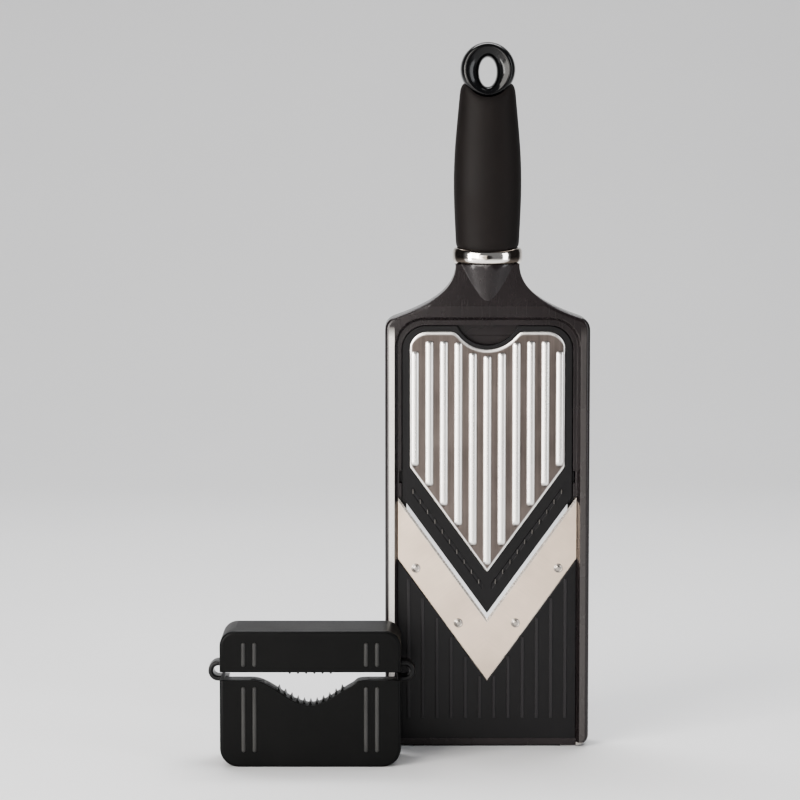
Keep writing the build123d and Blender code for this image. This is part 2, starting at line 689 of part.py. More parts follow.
with BuildPart() as holder_lower_shell:
    with BuildSketch(facing(HOLDER_BACK)) as block:
        with Locations((-HOLDER_PARK, SLOT_BOTTOM / 2)):
            Rectangle(HOLDER_WIDTH, SLOT_BOTTOM)
        fillet(block.vertices().group_by(Axis.Y)[0], HOLDER_FOOT_RADIUS)
    extrude(amount=HOLDER_DEPTH)
    front_rim = holder_lower_shell.faces().sort_by(Axis.Y)[0].edges()
    fillet([e for e in front_rim if e.center().Z < SLOT_BOTTOM - 0.1], HOLDER_ROUND)
    with BuildSketch(facing(HOLDER_BACK)) as cavity:
        high = SLOT_BOTTOM + CUT
        with Locations((-HOLDER_PARK, (HOLDER_WALL + high) / 2)):
            Rectangle(2 * INNER_HALF, high - HOLDER_WALL)
        fillet(cavity.vertices().group_by(Axis.Y)[0], HOLDER_FOOT_RADIUS - HOLDER_WALL)
    extrude(amount=HOLDER_DEPTH - HOLDER_WALL, mode=Mode.SUBTRACT)
    with BuildSketch(facing(HOLDER_BACK)):
        with BuildLine():
            Spline(*lens_points(LENS_HALF, 0), tangents=[(1, 0), (1, 0)])
            Polyline(
                (LENS_HALF - HOLDER_PARK, SLOT_BOTTOM),
                (LENS_HALF - HOLDER_PARK, SLOT_BOTTOM + CUT),
                (-LENS_HALF - HOLDER_PARK, SLOT_BOTTOM + CUT),
                (-LENS_HALF - HOLDER_PARK, SLOT_BOTTOM),
            )
        make_face()
    extrude(amount=HOLDER_DEPTH + CUT, mode=Mode.SUBTRACT)
    add(
        upright_box(
            (-HOLDER_PARK - HOLDER_WIDTH, -HOLDER_PARK + HOLDER_WIDTH),
            (HOLDER_BACK - EAR_DEPTH, HOLDER_BACK + CUT),
            (EAR_LOW, SLOT_BOTTOM + CUT),
        ),
        mode=Mode.SUBTRACT,
    )
finish(holder_lower_shell, "holder_lower_shell")

with BuildPart() as holder_upper_shell:
    with BuildSketch(facing(HOLDER_BACK)) as block:
        with Locations((-HOLDER_PARK, (SLOT_TOP + HOLDER_HEIGHT) / 2)):
            Rectangle(HOLDER_WIDTH, HOLDER_HEIGHT - SLOT_TOP)
        fillet(block.vertices().group_by(Axis.Y)[-1], HOLDER_TOP_RADIUS)
    extrude(amount=HOLDER_DEPTH)
    front_rim = holder_upper_shell.faces().sort_by(Axis.Y)[0].edges()
    fillet([e for e in front_rim if e.center().Z > SLOT_TOP + 0.1], HOLDER_ROUND)
    with BuildSketch(facing(HOLDER_BACK)) as cavity:
        low = SLOT_TOP - CUT
        high = HOLDER_HEIGHT - HOLDER_WALL
        with Locations((-HOLDER_PARK, (low + high) / 2)):
            Rectangle(2 * INNER_HALF, high - low)
        fillet(cavity.vertices().group_by(Axis.Y)[-1], HOLDER_TOP_RADIUS - HOLDER_WALL)
    extrude(amount=HOLDER_DEPTH - HOLDER_WALL, mode=Mode.SUBTRACT)
    # Room for the ears to bend as the halves are squeezed
    add(
        upright_box(
            (-HOLDER_PARK - HOLDER_WIDTH, -HOLDER_PARK + HOLDER_WIDTH),
            (HOLDER_BACK - EAR_DEPTH - SEAT_CLEARANCE, HOLDER_BACK + CUT),
            (SLOT_TOP - CUT, EAR_HIGH + SQUEEZE + SEAT_CLEARANCE),
        ),
        mode=Mode.SUBTRACT,
    )
finish(holder_upper_shell, "holder_upper_shell")

JAW_FRONT = HOLDER_FRONT + HOLDER_WALL
with BuildPart() as holder_upper_jaw:
    with BuildSketch(facing(JAW_FRONT + JAW_DEPTH)):
        with Locations((-HOLDER_PARK, SLOT_TOP + JAW_THICKNESS / 2)):
            Rectangle(2 * INNER_HALF, JAW_THICKNESS)
        pitch, width, height = UPPER_TOOTH
        for index in range(UPPER_TEETH):
            x = (index - (UPPER_TEETH - 1) / 2) * pitch - HOLDER_PARK
            with BuildLine():
                Polyline(
                    (x - width / 2, SLOT_TOP + TOOTH_ROOT),
                    (x + width / 2, SLOT_TOP + TOOTH_ROOT),
                    (x, SLOT_TOP - height),
                    close=True,
                )
            make_face()
    extrude(amount=JAW_DEPTH)
finish(holder_upper_jaw, "holder_upper_jaw")

with BuildPart() as holder_lower_jaw:
    with BuildSketch(facing(JAW_FRONT + JAW_DEPTH)):
        with BuildLine():
            Spline(*lens_points(LENS_HALF, 0), tangents=[(1, 0), (1, 0)])
            Polyline(
                (LENS_HALF - HOLDER_PARK, SLOT_BOTTOM),
                (INNER_HALF - HOLDER_PARK, SLOT_BOTTOM),
                (INNER_HALF - HOLDER_PARK, SLOT_BOTTOM - JAW_THICKNESS),
                (LENS_HALF - HOLDER_PARK, SLOT_BOTTOM - JAW_THICKNESS),
            )
            Spline(*lens_points(LENS_HALF, JAW_THICKNESS), tangents=[(1, 0), (1, 0)])
            Polyline(
                (-LENS_HALF - HOLDER_PARK, SLOT_BOTTOM - JAW_THICKNESS),
                (-INNER_HALF - HOLDER_PARK, SLOT_BOTTOM - JAW_THICKNESS),
                (-INNER_HALF - HOLDER_PARK, SLOT_BOTTOM),
                (-LENS_HALF - HOLDER_PARK, SLOT_BOTTOM),
            )
        make_face()
        pitch, width, height = LOWER_TOOTH
        for index in range(LOWER_TEETH):
            x = (index - (LOWER_TEETH - 1) / 2) * pitch
            with BuildLine():
                Polyline(
                    (x - width / 2 - HOLDER_PARK, lens_height(x - width / 2) - TOOTH_ROOT),
                    (x + width / 2 - HOLDER_PARK, lens_height(x + width / 2) - TOOTH_ROOT),
                    (x - HOLDER_PARK, lens_height(x) + height),
                    close=True,
                )
            make_face()
    extrude(amount=JAW_DEPTH)
finish(holder_lower_jaw, "holder_lower_jaw")

for name, side in (("holder_spring_left", -1), ("holder_spring_right", 1)):
    bend = side * (EAR_SPAN / 2 - EAR_HEIGHT / 2) - HOLDER_PARK
    root = side * (INNER_HALF - EAR_ROOT) - HOLDER_PARK
    with BuildPart() as ear:
        with BuildSketch(facing(HOLDER_BACK)):
            for height, mode in ((EAR_HEIGHT, Mode.ADD), (EAR_HEIGHT - 2 * EAR_WALL, Mode.SUBTRACT)):
                with Locations((bend, EAR_Z)):
                    Circle(height / 2, mode=mode)
                with Locations(((bend + root) / 2, EAR_Z)):
                    Rectangle(abs(bend - root), height, mode=mode)
        extrude(amount=EAR_DEPTH)
    finish(ear, name)

GRIP_SPANS = {
    "holder_upper_grips": (SLOT_TOP + UPPER_GRIP_GAPS[0], HOLDER_HEIGHT - UPPER_GRIP_GAPS[1]),
    "holder_lower_grips": (LOWER_GRIP_GAPS[0], SLOT_BOTTOM - LOWER_GRIP_GAPS[1]),
}
for name, (low, high) in GRIP_SPANS.items():
    with BuildPart() as grips:
        for offset in GRIP_OFFSETS:
            for side in (-1, 1):
                with BuildSketch(facing(HOLDER_FRONT)):
                    with Locations((side * offset - HOLDER_PARK, (low + high) / 2)):
                        SlotOverall(high - low, GRIP_WIDTH, rotation=90)
                extrude(amount=GRIP_RISE)
    finish(grips, name)
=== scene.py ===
"""Visual model of a hand-held V-blade mandoline slicer with its food holder.

The packed CAD model gives every place and size. The steel, the handle, the holder's ears and its soft
bars are worked out here as parametric surfaces. The mouldings are the CAD solids with finished materials.
"""

import math

import bmesh
import bpy
import numpy as np
from bpy.props import FloatProperty, FloatVectorProperty, IntProperty, PointerProperty
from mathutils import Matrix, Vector


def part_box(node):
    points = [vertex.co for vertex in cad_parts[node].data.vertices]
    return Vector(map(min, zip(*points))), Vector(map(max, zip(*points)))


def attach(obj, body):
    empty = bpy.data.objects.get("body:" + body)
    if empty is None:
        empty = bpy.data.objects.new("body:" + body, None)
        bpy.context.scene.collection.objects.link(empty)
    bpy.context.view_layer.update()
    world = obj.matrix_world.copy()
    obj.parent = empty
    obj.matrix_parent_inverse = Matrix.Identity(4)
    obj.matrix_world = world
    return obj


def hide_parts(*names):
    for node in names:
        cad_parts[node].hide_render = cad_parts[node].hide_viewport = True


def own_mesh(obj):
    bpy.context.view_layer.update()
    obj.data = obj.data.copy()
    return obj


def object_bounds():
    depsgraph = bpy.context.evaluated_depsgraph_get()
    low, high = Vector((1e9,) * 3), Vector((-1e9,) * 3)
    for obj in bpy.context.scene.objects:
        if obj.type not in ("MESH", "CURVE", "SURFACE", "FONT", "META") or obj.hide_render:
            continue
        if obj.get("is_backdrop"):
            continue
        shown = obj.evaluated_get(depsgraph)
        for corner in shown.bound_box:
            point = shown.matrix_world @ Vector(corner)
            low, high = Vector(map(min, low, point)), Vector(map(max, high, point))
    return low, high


bl_info = {
    "name": "V-blade mandoline slicer",
    "version": (1, 0, 0),
    "blender": (4, 5, 0),
    "location": "View3D > Sidebar > Slicer",
    "description": "Builds the steel, handle, insert and food holder of a mandoline slicer",
    "category": "Add Mesh",
}

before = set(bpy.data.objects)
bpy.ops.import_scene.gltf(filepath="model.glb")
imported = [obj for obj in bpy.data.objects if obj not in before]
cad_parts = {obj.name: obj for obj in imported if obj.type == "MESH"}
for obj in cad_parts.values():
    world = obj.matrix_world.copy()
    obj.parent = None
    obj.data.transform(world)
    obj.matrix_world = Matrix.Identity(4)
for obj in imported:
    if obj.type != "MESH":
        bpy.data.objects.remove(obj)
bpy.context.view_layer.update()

MM = 0.001
V_ANGLE = math.radians(36.0)  # between each arm of the V and the upright
FULL_TURN = 2 * math.pi
MERGE_DISTANCE = 1e-6


def span(node):
    """Lowest and highest corner of a CAD node as two arrays, in metres."""
    low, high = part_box(node)
    return np.array(low), np.array(high)


BLADE_LOW, BLADE_HIGH = span("v_blade")
GRIP_LOW, GRIP_HIGH = span("handle_grip")
CAP_LOW, CAP_HIGH = span("handle_end_cap")
COLLAR_LOW, COLLAR_HIGH = span("handle_collar")
CARRIER_LOW, CARRIER_HIGH = span("insert_carrier")
DECK_FACE = span("landing_deck")[0][1]
CAP_RADIUS = (CAP_HIGH[0] - CAP_LOW[0]) / 2
CAP_Z = CAP_HIGH[2] - CAP_RADIUS


# ---------------- settings
class SlicerHandle(bpy.types.PropertyGroup):
    """Shape and colour of the handle"""

    grip_squareness: FloatProperty(
        name="Grip squareness",
        description="Power of the grip's oval; 2 is a true ellipse",
        default=2.2,
        min=1.5,
    )
    collar_width: FloatProperty(
        name="Collar width",
        description="Width over the chrome collar",
        default=COLLAR_HIGH[0] - COLLAR_LOW[0],
        unit="LENGTH",
    )
    hole_width: FloatProperty(
        name="Hole width", description="Width of the hanging hole", default=9.4 * MM, unit="LENGTH"
    )
    hole_height: FloatProperty(
        name="Hole height",
        description="Height of the hanging hole",
        default=15.6 * MM,
        unit="LENGTH",
    )
    grip_colour: FloatVectorProperty(
        name="Grip colour",
        description="Soft-touch grip",
        default=(0.0062, 0.0041, 0.0036),
        subtype="COLOR",
    )
    cap_colour: FloatVectorProperty(
        name="Cap colour",
        description="Glossy end cap",
        default=(0.004, 0.004, 0.0045),
        subtype="COLOR",
    )


class SlicerBlade(bpy.types.PropertyGroup):
    """Shape and colour of the V blade"""

    bevel: FloatProperty(
        name="Bevel",
        description="Width of the ground bevel along the edge",
        default=1.0 * MM,
        unit="LENGTH",
    )
    rivet_dome: FloatProperty(
        name="Rivet dome", description="Height of the rivet heads", default=0.6 * MM, unit="LENGTH"
    )
    steel_colour: FloatVectorProperty(
        name="Steel colour",
        description="Satin blade steel",
        default=(0.80, 0.66, 0.54),
        subtype="COLOR",
    )


class SlicerInsert(bpy.types.PropertyGroup):
    """Shape and colour of the reversible insert"""

    ridges: IntProperty(name="Ridges", description="Pressed ridges on each sheet", default=11, min=3)
    ridge_width: FloatProperty(
        name="Ridge width", description="Width of a pressed ridge", default=3.9 * MM, unit="LENGTH"
    )
    ridge_rise: FloatProperty(
        name="Ridge rise", description="Height of a pressed ridge", default=0.7 * MM, unit="LENGTH"
    )
    # Painted highlight: the ridge tops of the sheet are coloured near-white
    ridge_highlight_colour: FloatVectorProperty(
        name="Ridge colour",
        description="Polished ridge tops",
        default=(0.98, 0.955, 0.92),
        subtype="COLOR",
    )
    # Painted shade: the steel between the ridges is coloured dark
    valley_shade_colour: FloatVectorProperty(
        name="Valley colour",
        description="Duller steel between the ridges",
        default=(0.115, 0.098, 0.090),
        subtype="COLOR",
    )


class SlicerMouldings(bpy.types.PropertyGroup):
    """Colours of the mouldings"""

    frame_colour: FloatVectorProperty(
        name="Frame colour",
        description="Glossy frame moulding",
        default=(0.0125, 0.0092, 0.0098),
        subtype="COLOR",
    )
    deck_colour: FloatVectorProperty(
        name="Deck colour",
        description="Ribbed landing deck",
        default=(0.0040, 0.0036, 0.0042),
        subtype="COLOR",
    )
    # Painted highlight on the rail land and the lower edge of the frame
    rail_highlight_colour: FloatVectorProperty(
        name="Track colour",
        description="Polished track of the holder on the rails",
        default=(0.80, 0.77, 0.73),
        subtype="COLOR",
    )
    # Painted highlight on the tops of the deck's ribs
    rib_highlight_colour: FloatVectorProperty(
        name="Rib colour",
        description="Rubbed tops of the deck's ribs",
        default=(0.019, 0.0175, 0.019),
        subtype="COLOR",
    )
    holder_colour: FloatVectorProperty(
        name="Holder colour",
        description="Food holder",
        default=(0.0026, 0.0027, 0.0027),
        subtype="COLOR",
    )
    # The bars' paler grey is a painted highlight standing in for lit lines on the holder's front
    bar_highlight_colour: FloatVectorProperty(
        name="Bar colour",
        description="Raised soft bars on the holder",
        default=(0.040, 0.040, 0.039),
        subtype="COLOR",
    )


class SlicerStage(bpy.types.PropertyGroup):
    """Floor, light and camera"""

    floor_colour: FloatVectorProperty(
        name="Floor colour",
        description="Pale floor and backdrop",
        default=(0.78, 0.78, 0.785),
        subtype="COLOR",
    )
    key_power: FloatProperty(
        name="Key light", description="Power of the left softbox", default=20.0, unit="POWER"
    )
    fill_power: FloatProperty(
        name="Fill light", description="Power of the right softbox", default=7.0, unit="POWER"
    )
    elevation: FloatProperty(
        name="Elevation",
        description="Camera height above the horizon",
        default=math.radians(5.0),
        unit="ROTATION",
    )
    lens: FloatProperty(name="Lens", description="Focal length", default=135.0, unit="CAMERA")


# ---------------- meshes from arrays
def grid_faces(rows, columns, wrap_rows=False, wrap_columns=False):
    """Corner numbers of the quads between a rows by columns grid of points, joined round if asked."""
    r, c = np.meshgrid(
        np.arange(rows if wrap_rows else rows - 1),
        np.arange(columns if wrap_columns else columns - 1),
        indexing="ij",
    )
    r2, c2 = (r + 1) % rows, (c + 1) % columns
    corners = [r * columns + c, r2 * columns + c, r2 * columns + c2, r * columns + c2]
    return np.stack(corners, -1).reshape(-1, 4)


def superpower(angle, power):
    """Cosine and sine of an angle raised to 2/power, with their signs: a superellipse."""
    c, s = np.cos(angle), np.sin(angle)
    return np.sign(c) * np.abs(c) ** (2 / power), np.sign(s) * np.abs(s) ** (2 / power)


def collar_dip(facing):
    """Height of the line between collar and grip, by how far it faces forward or back.

    It sinks where |facing| is 1 and rises at the sides, where facing is 0.
    """
    side_rise, fall = 0.6, 2.0
    return (side_rise - fall * np.abs(facing) ** 2) * MM


def stack_grids(grids, wrap_rows=False, wrap_columns=False):
    """Points and faces of several equal grids, laid one after another."""
    rows, columns = grids[0].shape[:2]
    faces = grid_faces(rows, columns, wrap_rows, wrap_columns)
    points = np.concatenate([g.reshape(-1, 3) for g in grids])
    offsets = np.arange(len(grids)) * rows * columns
    return points, (faces[None] + offsets[:, None, None]).reshape(-1, 4)


def new_piece(name, points, faces, material, body, replaces, sharp=32.0, masks=None, closed=True):
    """Mesh object of these points and faces that rides on a body and stands for CAD nodes."""
    mesh = bpy.data.meshes.new(name)
    mesh.from_pydata(points.reshape(-1, 3).tolist(), [], faces.tolist())
    for key, values in (masks or {}).items():
        attribute = mesh.attributes.new(key, "FLOAT", "POINT")
        attribute.data.foreach_set("value", np.ascontiguousarray(values, np.float32).ravel())
    work = bmesh.new()
    work.from_mesh(mesh)
    bmesh.ops.remove_doubles(work, verts=work.verts, dist=MERGE_DISTANCE)
    bmesh.ops.dissolve_degenerate(work, edges=work.edges, dist=MERGE_DISTANCE / 10)
    if closed:
        bmesh.ops.recalc_face_normals(work, faces=work.faces)
    work.to_mesh(mesh)
    work.free()
    mesh.shade_smooth()
    mesh.set_sharp_from_angle(angle=math.radians(sharp))
    piece = bpy.data.objects.new(name, mesh)
    bpy.context.scene.collection.objects.link(piece)
    mesh.materials.append(material)
    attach(piece, body)
    if replaces:
        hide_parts(*replaces)
    return piece


def paint_node(node, material):
    """Give a CAD node its finished material."""
    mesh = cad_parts[node].data
    mesh.materials.clear()
    mesh.materials.append(material)


def soften_edges(node, width, segments=2, angle=50.0):
    """Round the sharp edges of a CAD node with modifiers; its own mesh stays as it is."""
    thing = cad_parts[node]
    weld = thing.modifiers.new("Weld", "WELD")
    weld.merge_threshold = MERGE_DISTANCE
    flats = thing.modifiers.new("Whole flats", "DECIMATE")
    flats.decimate_type = "DISSOLVE"
    flats.angle_limit = math.radians(0.5)
    bevel = thing.modifiers.new("Rounded edges", "BEVEL")
    bevel.width = width
    bevel.segments = segments
    bevel.limit_method = "ANGLE"
    bevel.angle_limit = math.radians(angle)
    bevel.harden_normals = True
    bevel.use_clamp_overlap = True


# ---------------- materials
class Wire:
    """Number socket that takes part in arithmetic; each operation adds one Math node."""

    def __init__(self, recipe, socket):
        self.recipe = recipe
        self.socket = socket

    def math(self, operation, *values):
        return self.recipe.node("ShaderNodeMath", {"operation": operation}, dict(enumerate(values)))

    def __add__(self, other):
        return self.math("ADD", self, other)

    def __radd__(self, other):
        return self.math("ADD", other, self)

    def __sub__(self, other):
        return self.math("SUBTRACT", self, other)

    def __rsub__(self, other):
        return self.math("SUBTRACT", other, self)

    def __mul__(self, other):
        return self.math("MULTIPLY", self, other)

    def __rmul__(self, other):
        return self.math("MULTIPLY", other, self)

    def __truediv__(self, other):
        return self.math("DIVIDE", self, other)

    def __abs__(self):
        return self.math("ABSOLUTE", self)

    def above(self, low, high):
        """0 below low, 1 above high and a straight ramp between them."""
        inputs = {"Value": self, "From Min": low, "From Max": high}
        return self.recipe.node("ShaderNodeMapRange", {"clamp": True}, inputs)


class Recipe:
    """One material under construction."""

    def __init__(self, name):
        self.material = bpy.data.materials.new(name)
        self.material.use_nodes = True
        self.tree = self.material.node_tree
        self.shader = self.tree.nodes["Principled BSDF"]

    def node(self, kind, settings=None, inputs=None, output=0):
        """Add a node of this kind, set it up, feed its sockets and return one of its outputs."""
        node = self.tree.nodes.new(kind)
        for key, value in (settings or {}).items():
            setattr(node, key, value)
        for key, value in (inputs or {}).items():
            self.feed(node.inputs[key], value)
        return Wire(self, node.outputs[output])

    def feed(self, socket, value):
        """Link a wire to a socket, or set the socket's own value."""
        if isinstance(value, Wire):
            self.tree.links.new(value.socket, socket)
        else:
            socket.default_value = value

    def place(self):
        """Object coordinates."""
        return self.node("ShaderNodeTexCoord", output="Object")

    def axes(self):
        """Object coordinates as three numbers."""
        vector = self.place()
        split = self.tree.nodes.new("ShaderNodeSeparateXYZ")
        self.tree.links.new(vector.socket, split.inputs[0])
        return [Wire(self, output) for output in split.outputs]

    def stretched(self, x, y, z):
        """Object coordinates scaled by these amounts."""
        return self.node("ShaderNodeMapping", {}, {"Vector": self.place(), "Scale": (x, y, z)})

    def noise(self, scale, detail=2.0, vector=None, roughness=0.5):
        """Noise of about this many blobs to the metre."""
        inputs = {"Vector": vector or self.place(), "Scale": scale, "Detail": detail, "Roughness": roughness}
        return self.node("ShaderNodeTexNoise", {}, inputs)

    def attribute(self, name):
        """Mask stored on the piece's points."""
        return self.node("ShaderNodeAttribute", {"attribute_name": name}, {}, "Fac")

    def edges(self, radius):
        """About 1 on outer and inner edges of this radius and 0 on open faces."""
        bevel = self.node("ShaderNodeBevel", {"samples": 4}, {"Radius": radius})
        normal = self.node("ShaderNodeNewGeometry", output="Normal")
        settings = {"operation": "DOT_PRODUCT"}
        match = self.node("ShaderNodeVectorMath", settings, {0: bevel, 1: normal}, "Value")
        return (1.0 - match).above(0.02, 0.22)

    def rounded(self, radius):
        """Shading normal of the surface as if its edges had this radius."""
        return self.node("ShaderNodeBevel", {"samples": 6}, {"Radius": radius})

    def mix(self, factor, first, second):
        """Colour between two colours."""
        sockets = {0: factor, 6: first, 7: second}
        return self.node("ShaderNodeMix", {"data_type": "RGBA"}, sockets, 2)

    def bump(self, height, distance, normal=None):
        """Normal that is raised by this many metres where the height is 1."""
        inputs = {"Height": height, "Distance": distance, "Strength": 1.0}
        if normal:
            inputs["Normal"] = normal
        return self.node("ShaderNodeBump", {}, inputs)

    def finish(self, **sockets):
        """Feed the shader's sockets, named with underscores, and return the material."""
        for key, value in sockets.items():
            self.feed(self.shader.inputs[key.replace("_", " ")], value)
        return self.material


def rgba(colour, gain=1.0):
    """Colour property as four numbers, brightened by a gain."""
    return (*[min(1.0, c * gain) for c in colour], 1.0)


def moulded_plastic(
    name, colour, rough, grain, grain_depth, edge_gain=3.0, coat=0.0, shine=0.32, highlight_mask=None, highlight_colour=None
):
    """Moulded black plastic: cloudy gloss, fine grain, handling scratches and paler worn edges.

    Where the given mask function gives 1, its colour is painted paler as a painted highlight.
    """
    m = Recipe(name)
    cloud = m.noise(38.0, 3.0)
    fine = m.noise(grain, 2.0)
    streaks = m.noise(1.0, 3.0, m.stretched(900.0, 900.0, 34.0), 0.6).above(0.60, 0.74)
    worn = m.edges(0.0006) * m.noise(420.0, 3.0).above(0.30, 0.62)
    tone = m.mix(cloud.above(0.3, 0.7), rgba(colour, 0.8), rgba(colour, 1.25))
    scratched = m.mix(streaks * 0.12, tone, rgba(colour, 2.2))
    base = m.mix(worn * 0.8, scratched, rgba(colour, edge_gain))
    roughness = rough + (cloud - 0.5) * 0.10 + streaks * 0.10 - worn * 0.06
    # Painted highlight laid over the colour where the mask gives 1
    if highlight_mask:
        painted_highlight = highlight_mask(*m.axes()) * (fine * 0.5 + 0.6)
        base = m.mix(painted_highlight, base, rgba(highlight_colour))
        roughness = roughness + painted_highlight * 0.08
    normal = m.bump(fine, grain_depth, m.bump(streaks, -0.00001, m.rounded(0.0005)))
    return m.finish(
        Base_Color=base,
        Roughness=roughness,
        Normal=normal,
        Coat_Weight=coat,
        Coat_Roughness=0.12,
        Specular_IOR_Level=shine,
    )


def soft_rubber(name, colour, rough=0.58, grain=2600.0):
    """Soft-touch rubber: a fine pebble, patches polished by the hand and a faint dusty sheen."""
    m = Recipe(name)
    inputs = {"Vector": m.place(), "Scale": grain, "Smoothness": 0.6}
    pebble = m.node("ShaderNodeTexVoronoi", {"feature": "SMOOTH_F1"}, inputs)
    patches = m.noise(55.0, 3.0)
    lint = m.noise(1500.0, 1.0).above(0.71, 0.78)
    tone = m.mix(patches.above(0.32, 0.7), rgba(colour, 0.82), rgba(colour, 1.22))
    base = m.mix(lint * 0.25, tone, rgba(colour, 3.2))
    roughness = rough + (patches - 0.5) * 0.16 + lint * 0.1
    normal = m.bump(pebble, 0.00004, m.bump(patches, 0.00012))
    return m.finish(
        Base_Color=base,
        Roughness=roughness,
        Normal=normal,
        Sheen_Weight=0.02,
        Sheen_Roughness=0.5,
        Specular_IOR_Level=0.22,
    )


def blade_steel(colour):
    """Satin blade: grind lines square to each edge, a polished bevel, a painted highlight along the outer
    edge and a few hairline scratches.
    """
    m = Recipe("blade_steel")
    x, y, z = m.axes()
    along = abs(x) * math.sin(V_ANGLE) + z * math.cos(V_ANGLE)
    across = z * math.sin(V_ANGLE) - abs(x) * math.cos(V_ANGLE)
    grind_place = m.node("ShaderNodeCombineXYZ", {}, {0: along * 2600.0, 1: across * 42.0, 2: y * 100.0})
    grind = m.noise(1.0, 4.0, grind_place, 0.65)
    hair_place = m.node("ShaderNodeCombineXYZ", {}, {0: along * 60.0, 1: across * 1900.0, 2: y * 100.0})
    hair = m.noise(1.0, 2.0, hair_place).above(0.69, 0.76)
    cloud = m.noise(34.0, 3.0)
    edge = m.attribute("edge")
    tone = m.mix(cloud.above(0.3, 0.7), rgba(colour, 0.84), rgba(colour, 1.10))
    lined = m.mix(grind.above(0.35, 0.75) * 0.30, tone, rgba(colour, 0.74))
    base = m.mix(edge * 0.6, lined, rgba((0.95, 0.90, 0.84)))
    roughness = 0.34 + (grind - 0.5) * 0.20 + (cloud - 0.5) * 0.10 + hair * 0.12 - edge * 0.08
    normal = m.bump(grind, 0.000012, m.bump(hair, -0.000012))
    return m.finish(Base_Color=base, Metallic=1.0, Roughness=roughness, Normal=normal)


def sheet_steel(name, ridge_highlight_colour, valley_shade_colour):
    """Pressed sheet: near-white ridges and rolled rim as painted highlights, dark brushed valleys as painted
    shade, and dark ticks at the ridge feet.
    """
    m = Recipe(name)
    ridge = m.attribute("ridge")
    tick = m.attribute("tick")
    rim = m.attribute("rim")
    brushed = m.noise(1.0, 3.0, m.stretched(900.0, 300.0, 14.0), 0.55)
    cloud = m.noise(45.0, 3.0)
    valley = m.mix(cloud.above(0.3, 0.7), rgba(valley_shade_colour, 0.82), rgba(valley_shade_colour, 1.22))
    lined = m.mix(brushed.above(0.35, 0.7) * 0.35, valley, rgba(valley_shade_colour, 1.7))
    crest = m.mix(brushed.above(0.4, 0.8) * 0.25, rgba(ridge_highlight_colour), rgba(ridge_highlight_colour, 0.8))
    # Painted highlight on the ridges and the rolled rim, painted shade in the valleys
    bright = m.mix((ridge + rim).above(0.02, 0.98), lined, crest)
    base = m.mix(tick, bright, (0.035, 0.03, 0.03, 1.0))
    roughness = 0.34 + (brushed - 0.5) * 0.16 + (cloud - 0.5) * 0.08 - ridge * 0.06 + tick * 0.3
    normal = m.bump(brushed, 0.000004)
    return m.finish(Base_Color=base, Metallic=1.0, Roughness=roughness, Normal=normal)


def tooth_steel(name, strip_face):
    """Steel of the julienne combs: blackened strip, bare teeth in front of its face."""
    m = Recipe(name)
    bare = (strip_face - m.axes()[1]).above(0.0001, 0.0005)
    cloud = m.noise(300.0, 3.0)
    lines = m.noise(1.0, 3.0, m.stretched(1500.0, 300.0, 60.0), 0.6)
    black = m.mix(cloud, (0.006, 0.006, 0.007, 1.0), (0.014, 0.013, 0.014, 1.0))
    steel = m.mix(cloud, (0.09, 0.085, 0.08, 1.0), (0.20, 0.19, 0.18, 1.0))
    base = m.mix(bare, black, steel)
    roughness = 0.38 + (lines - 0.5) * 0.2 + (cloud - 0.5) * 0.1
    return m.finish(
        Base_Color=base,
        Metallic=bare,
        Roughness=roughness,
        Normal=m.bump(lines, 0.000006),
        Specular_IOR_Level=0.3,
    )


def plain_metal(name, colour, rough, line_scale):
    """Bare metal: turned or drawn lines, tarnish clouds and brighter edges."""
    m = Recipe(name)
    lines = m.noise(1.0, 3.0, m.stretched(*line_scale), 0.6)
    cloud = m.noise(160.0, 3.0)
    worn = m.edges(0.0003)
    tone = m.mix(cloud.above(0.35, 0.7), rgba(colour, 0.82), rgba(colour, 1.05))
    base = m.mix(worn * 0.5, tone, rgba(colour, 1.3))
    roughness = rough + (lines - 0.5) * 0.14 + (cloud - 0.5) * 0.10
    return m.finish(Base_Color=base, Metallic=1.0, Roughness=roughness, Normal=m.bump(lines, 0.000006))


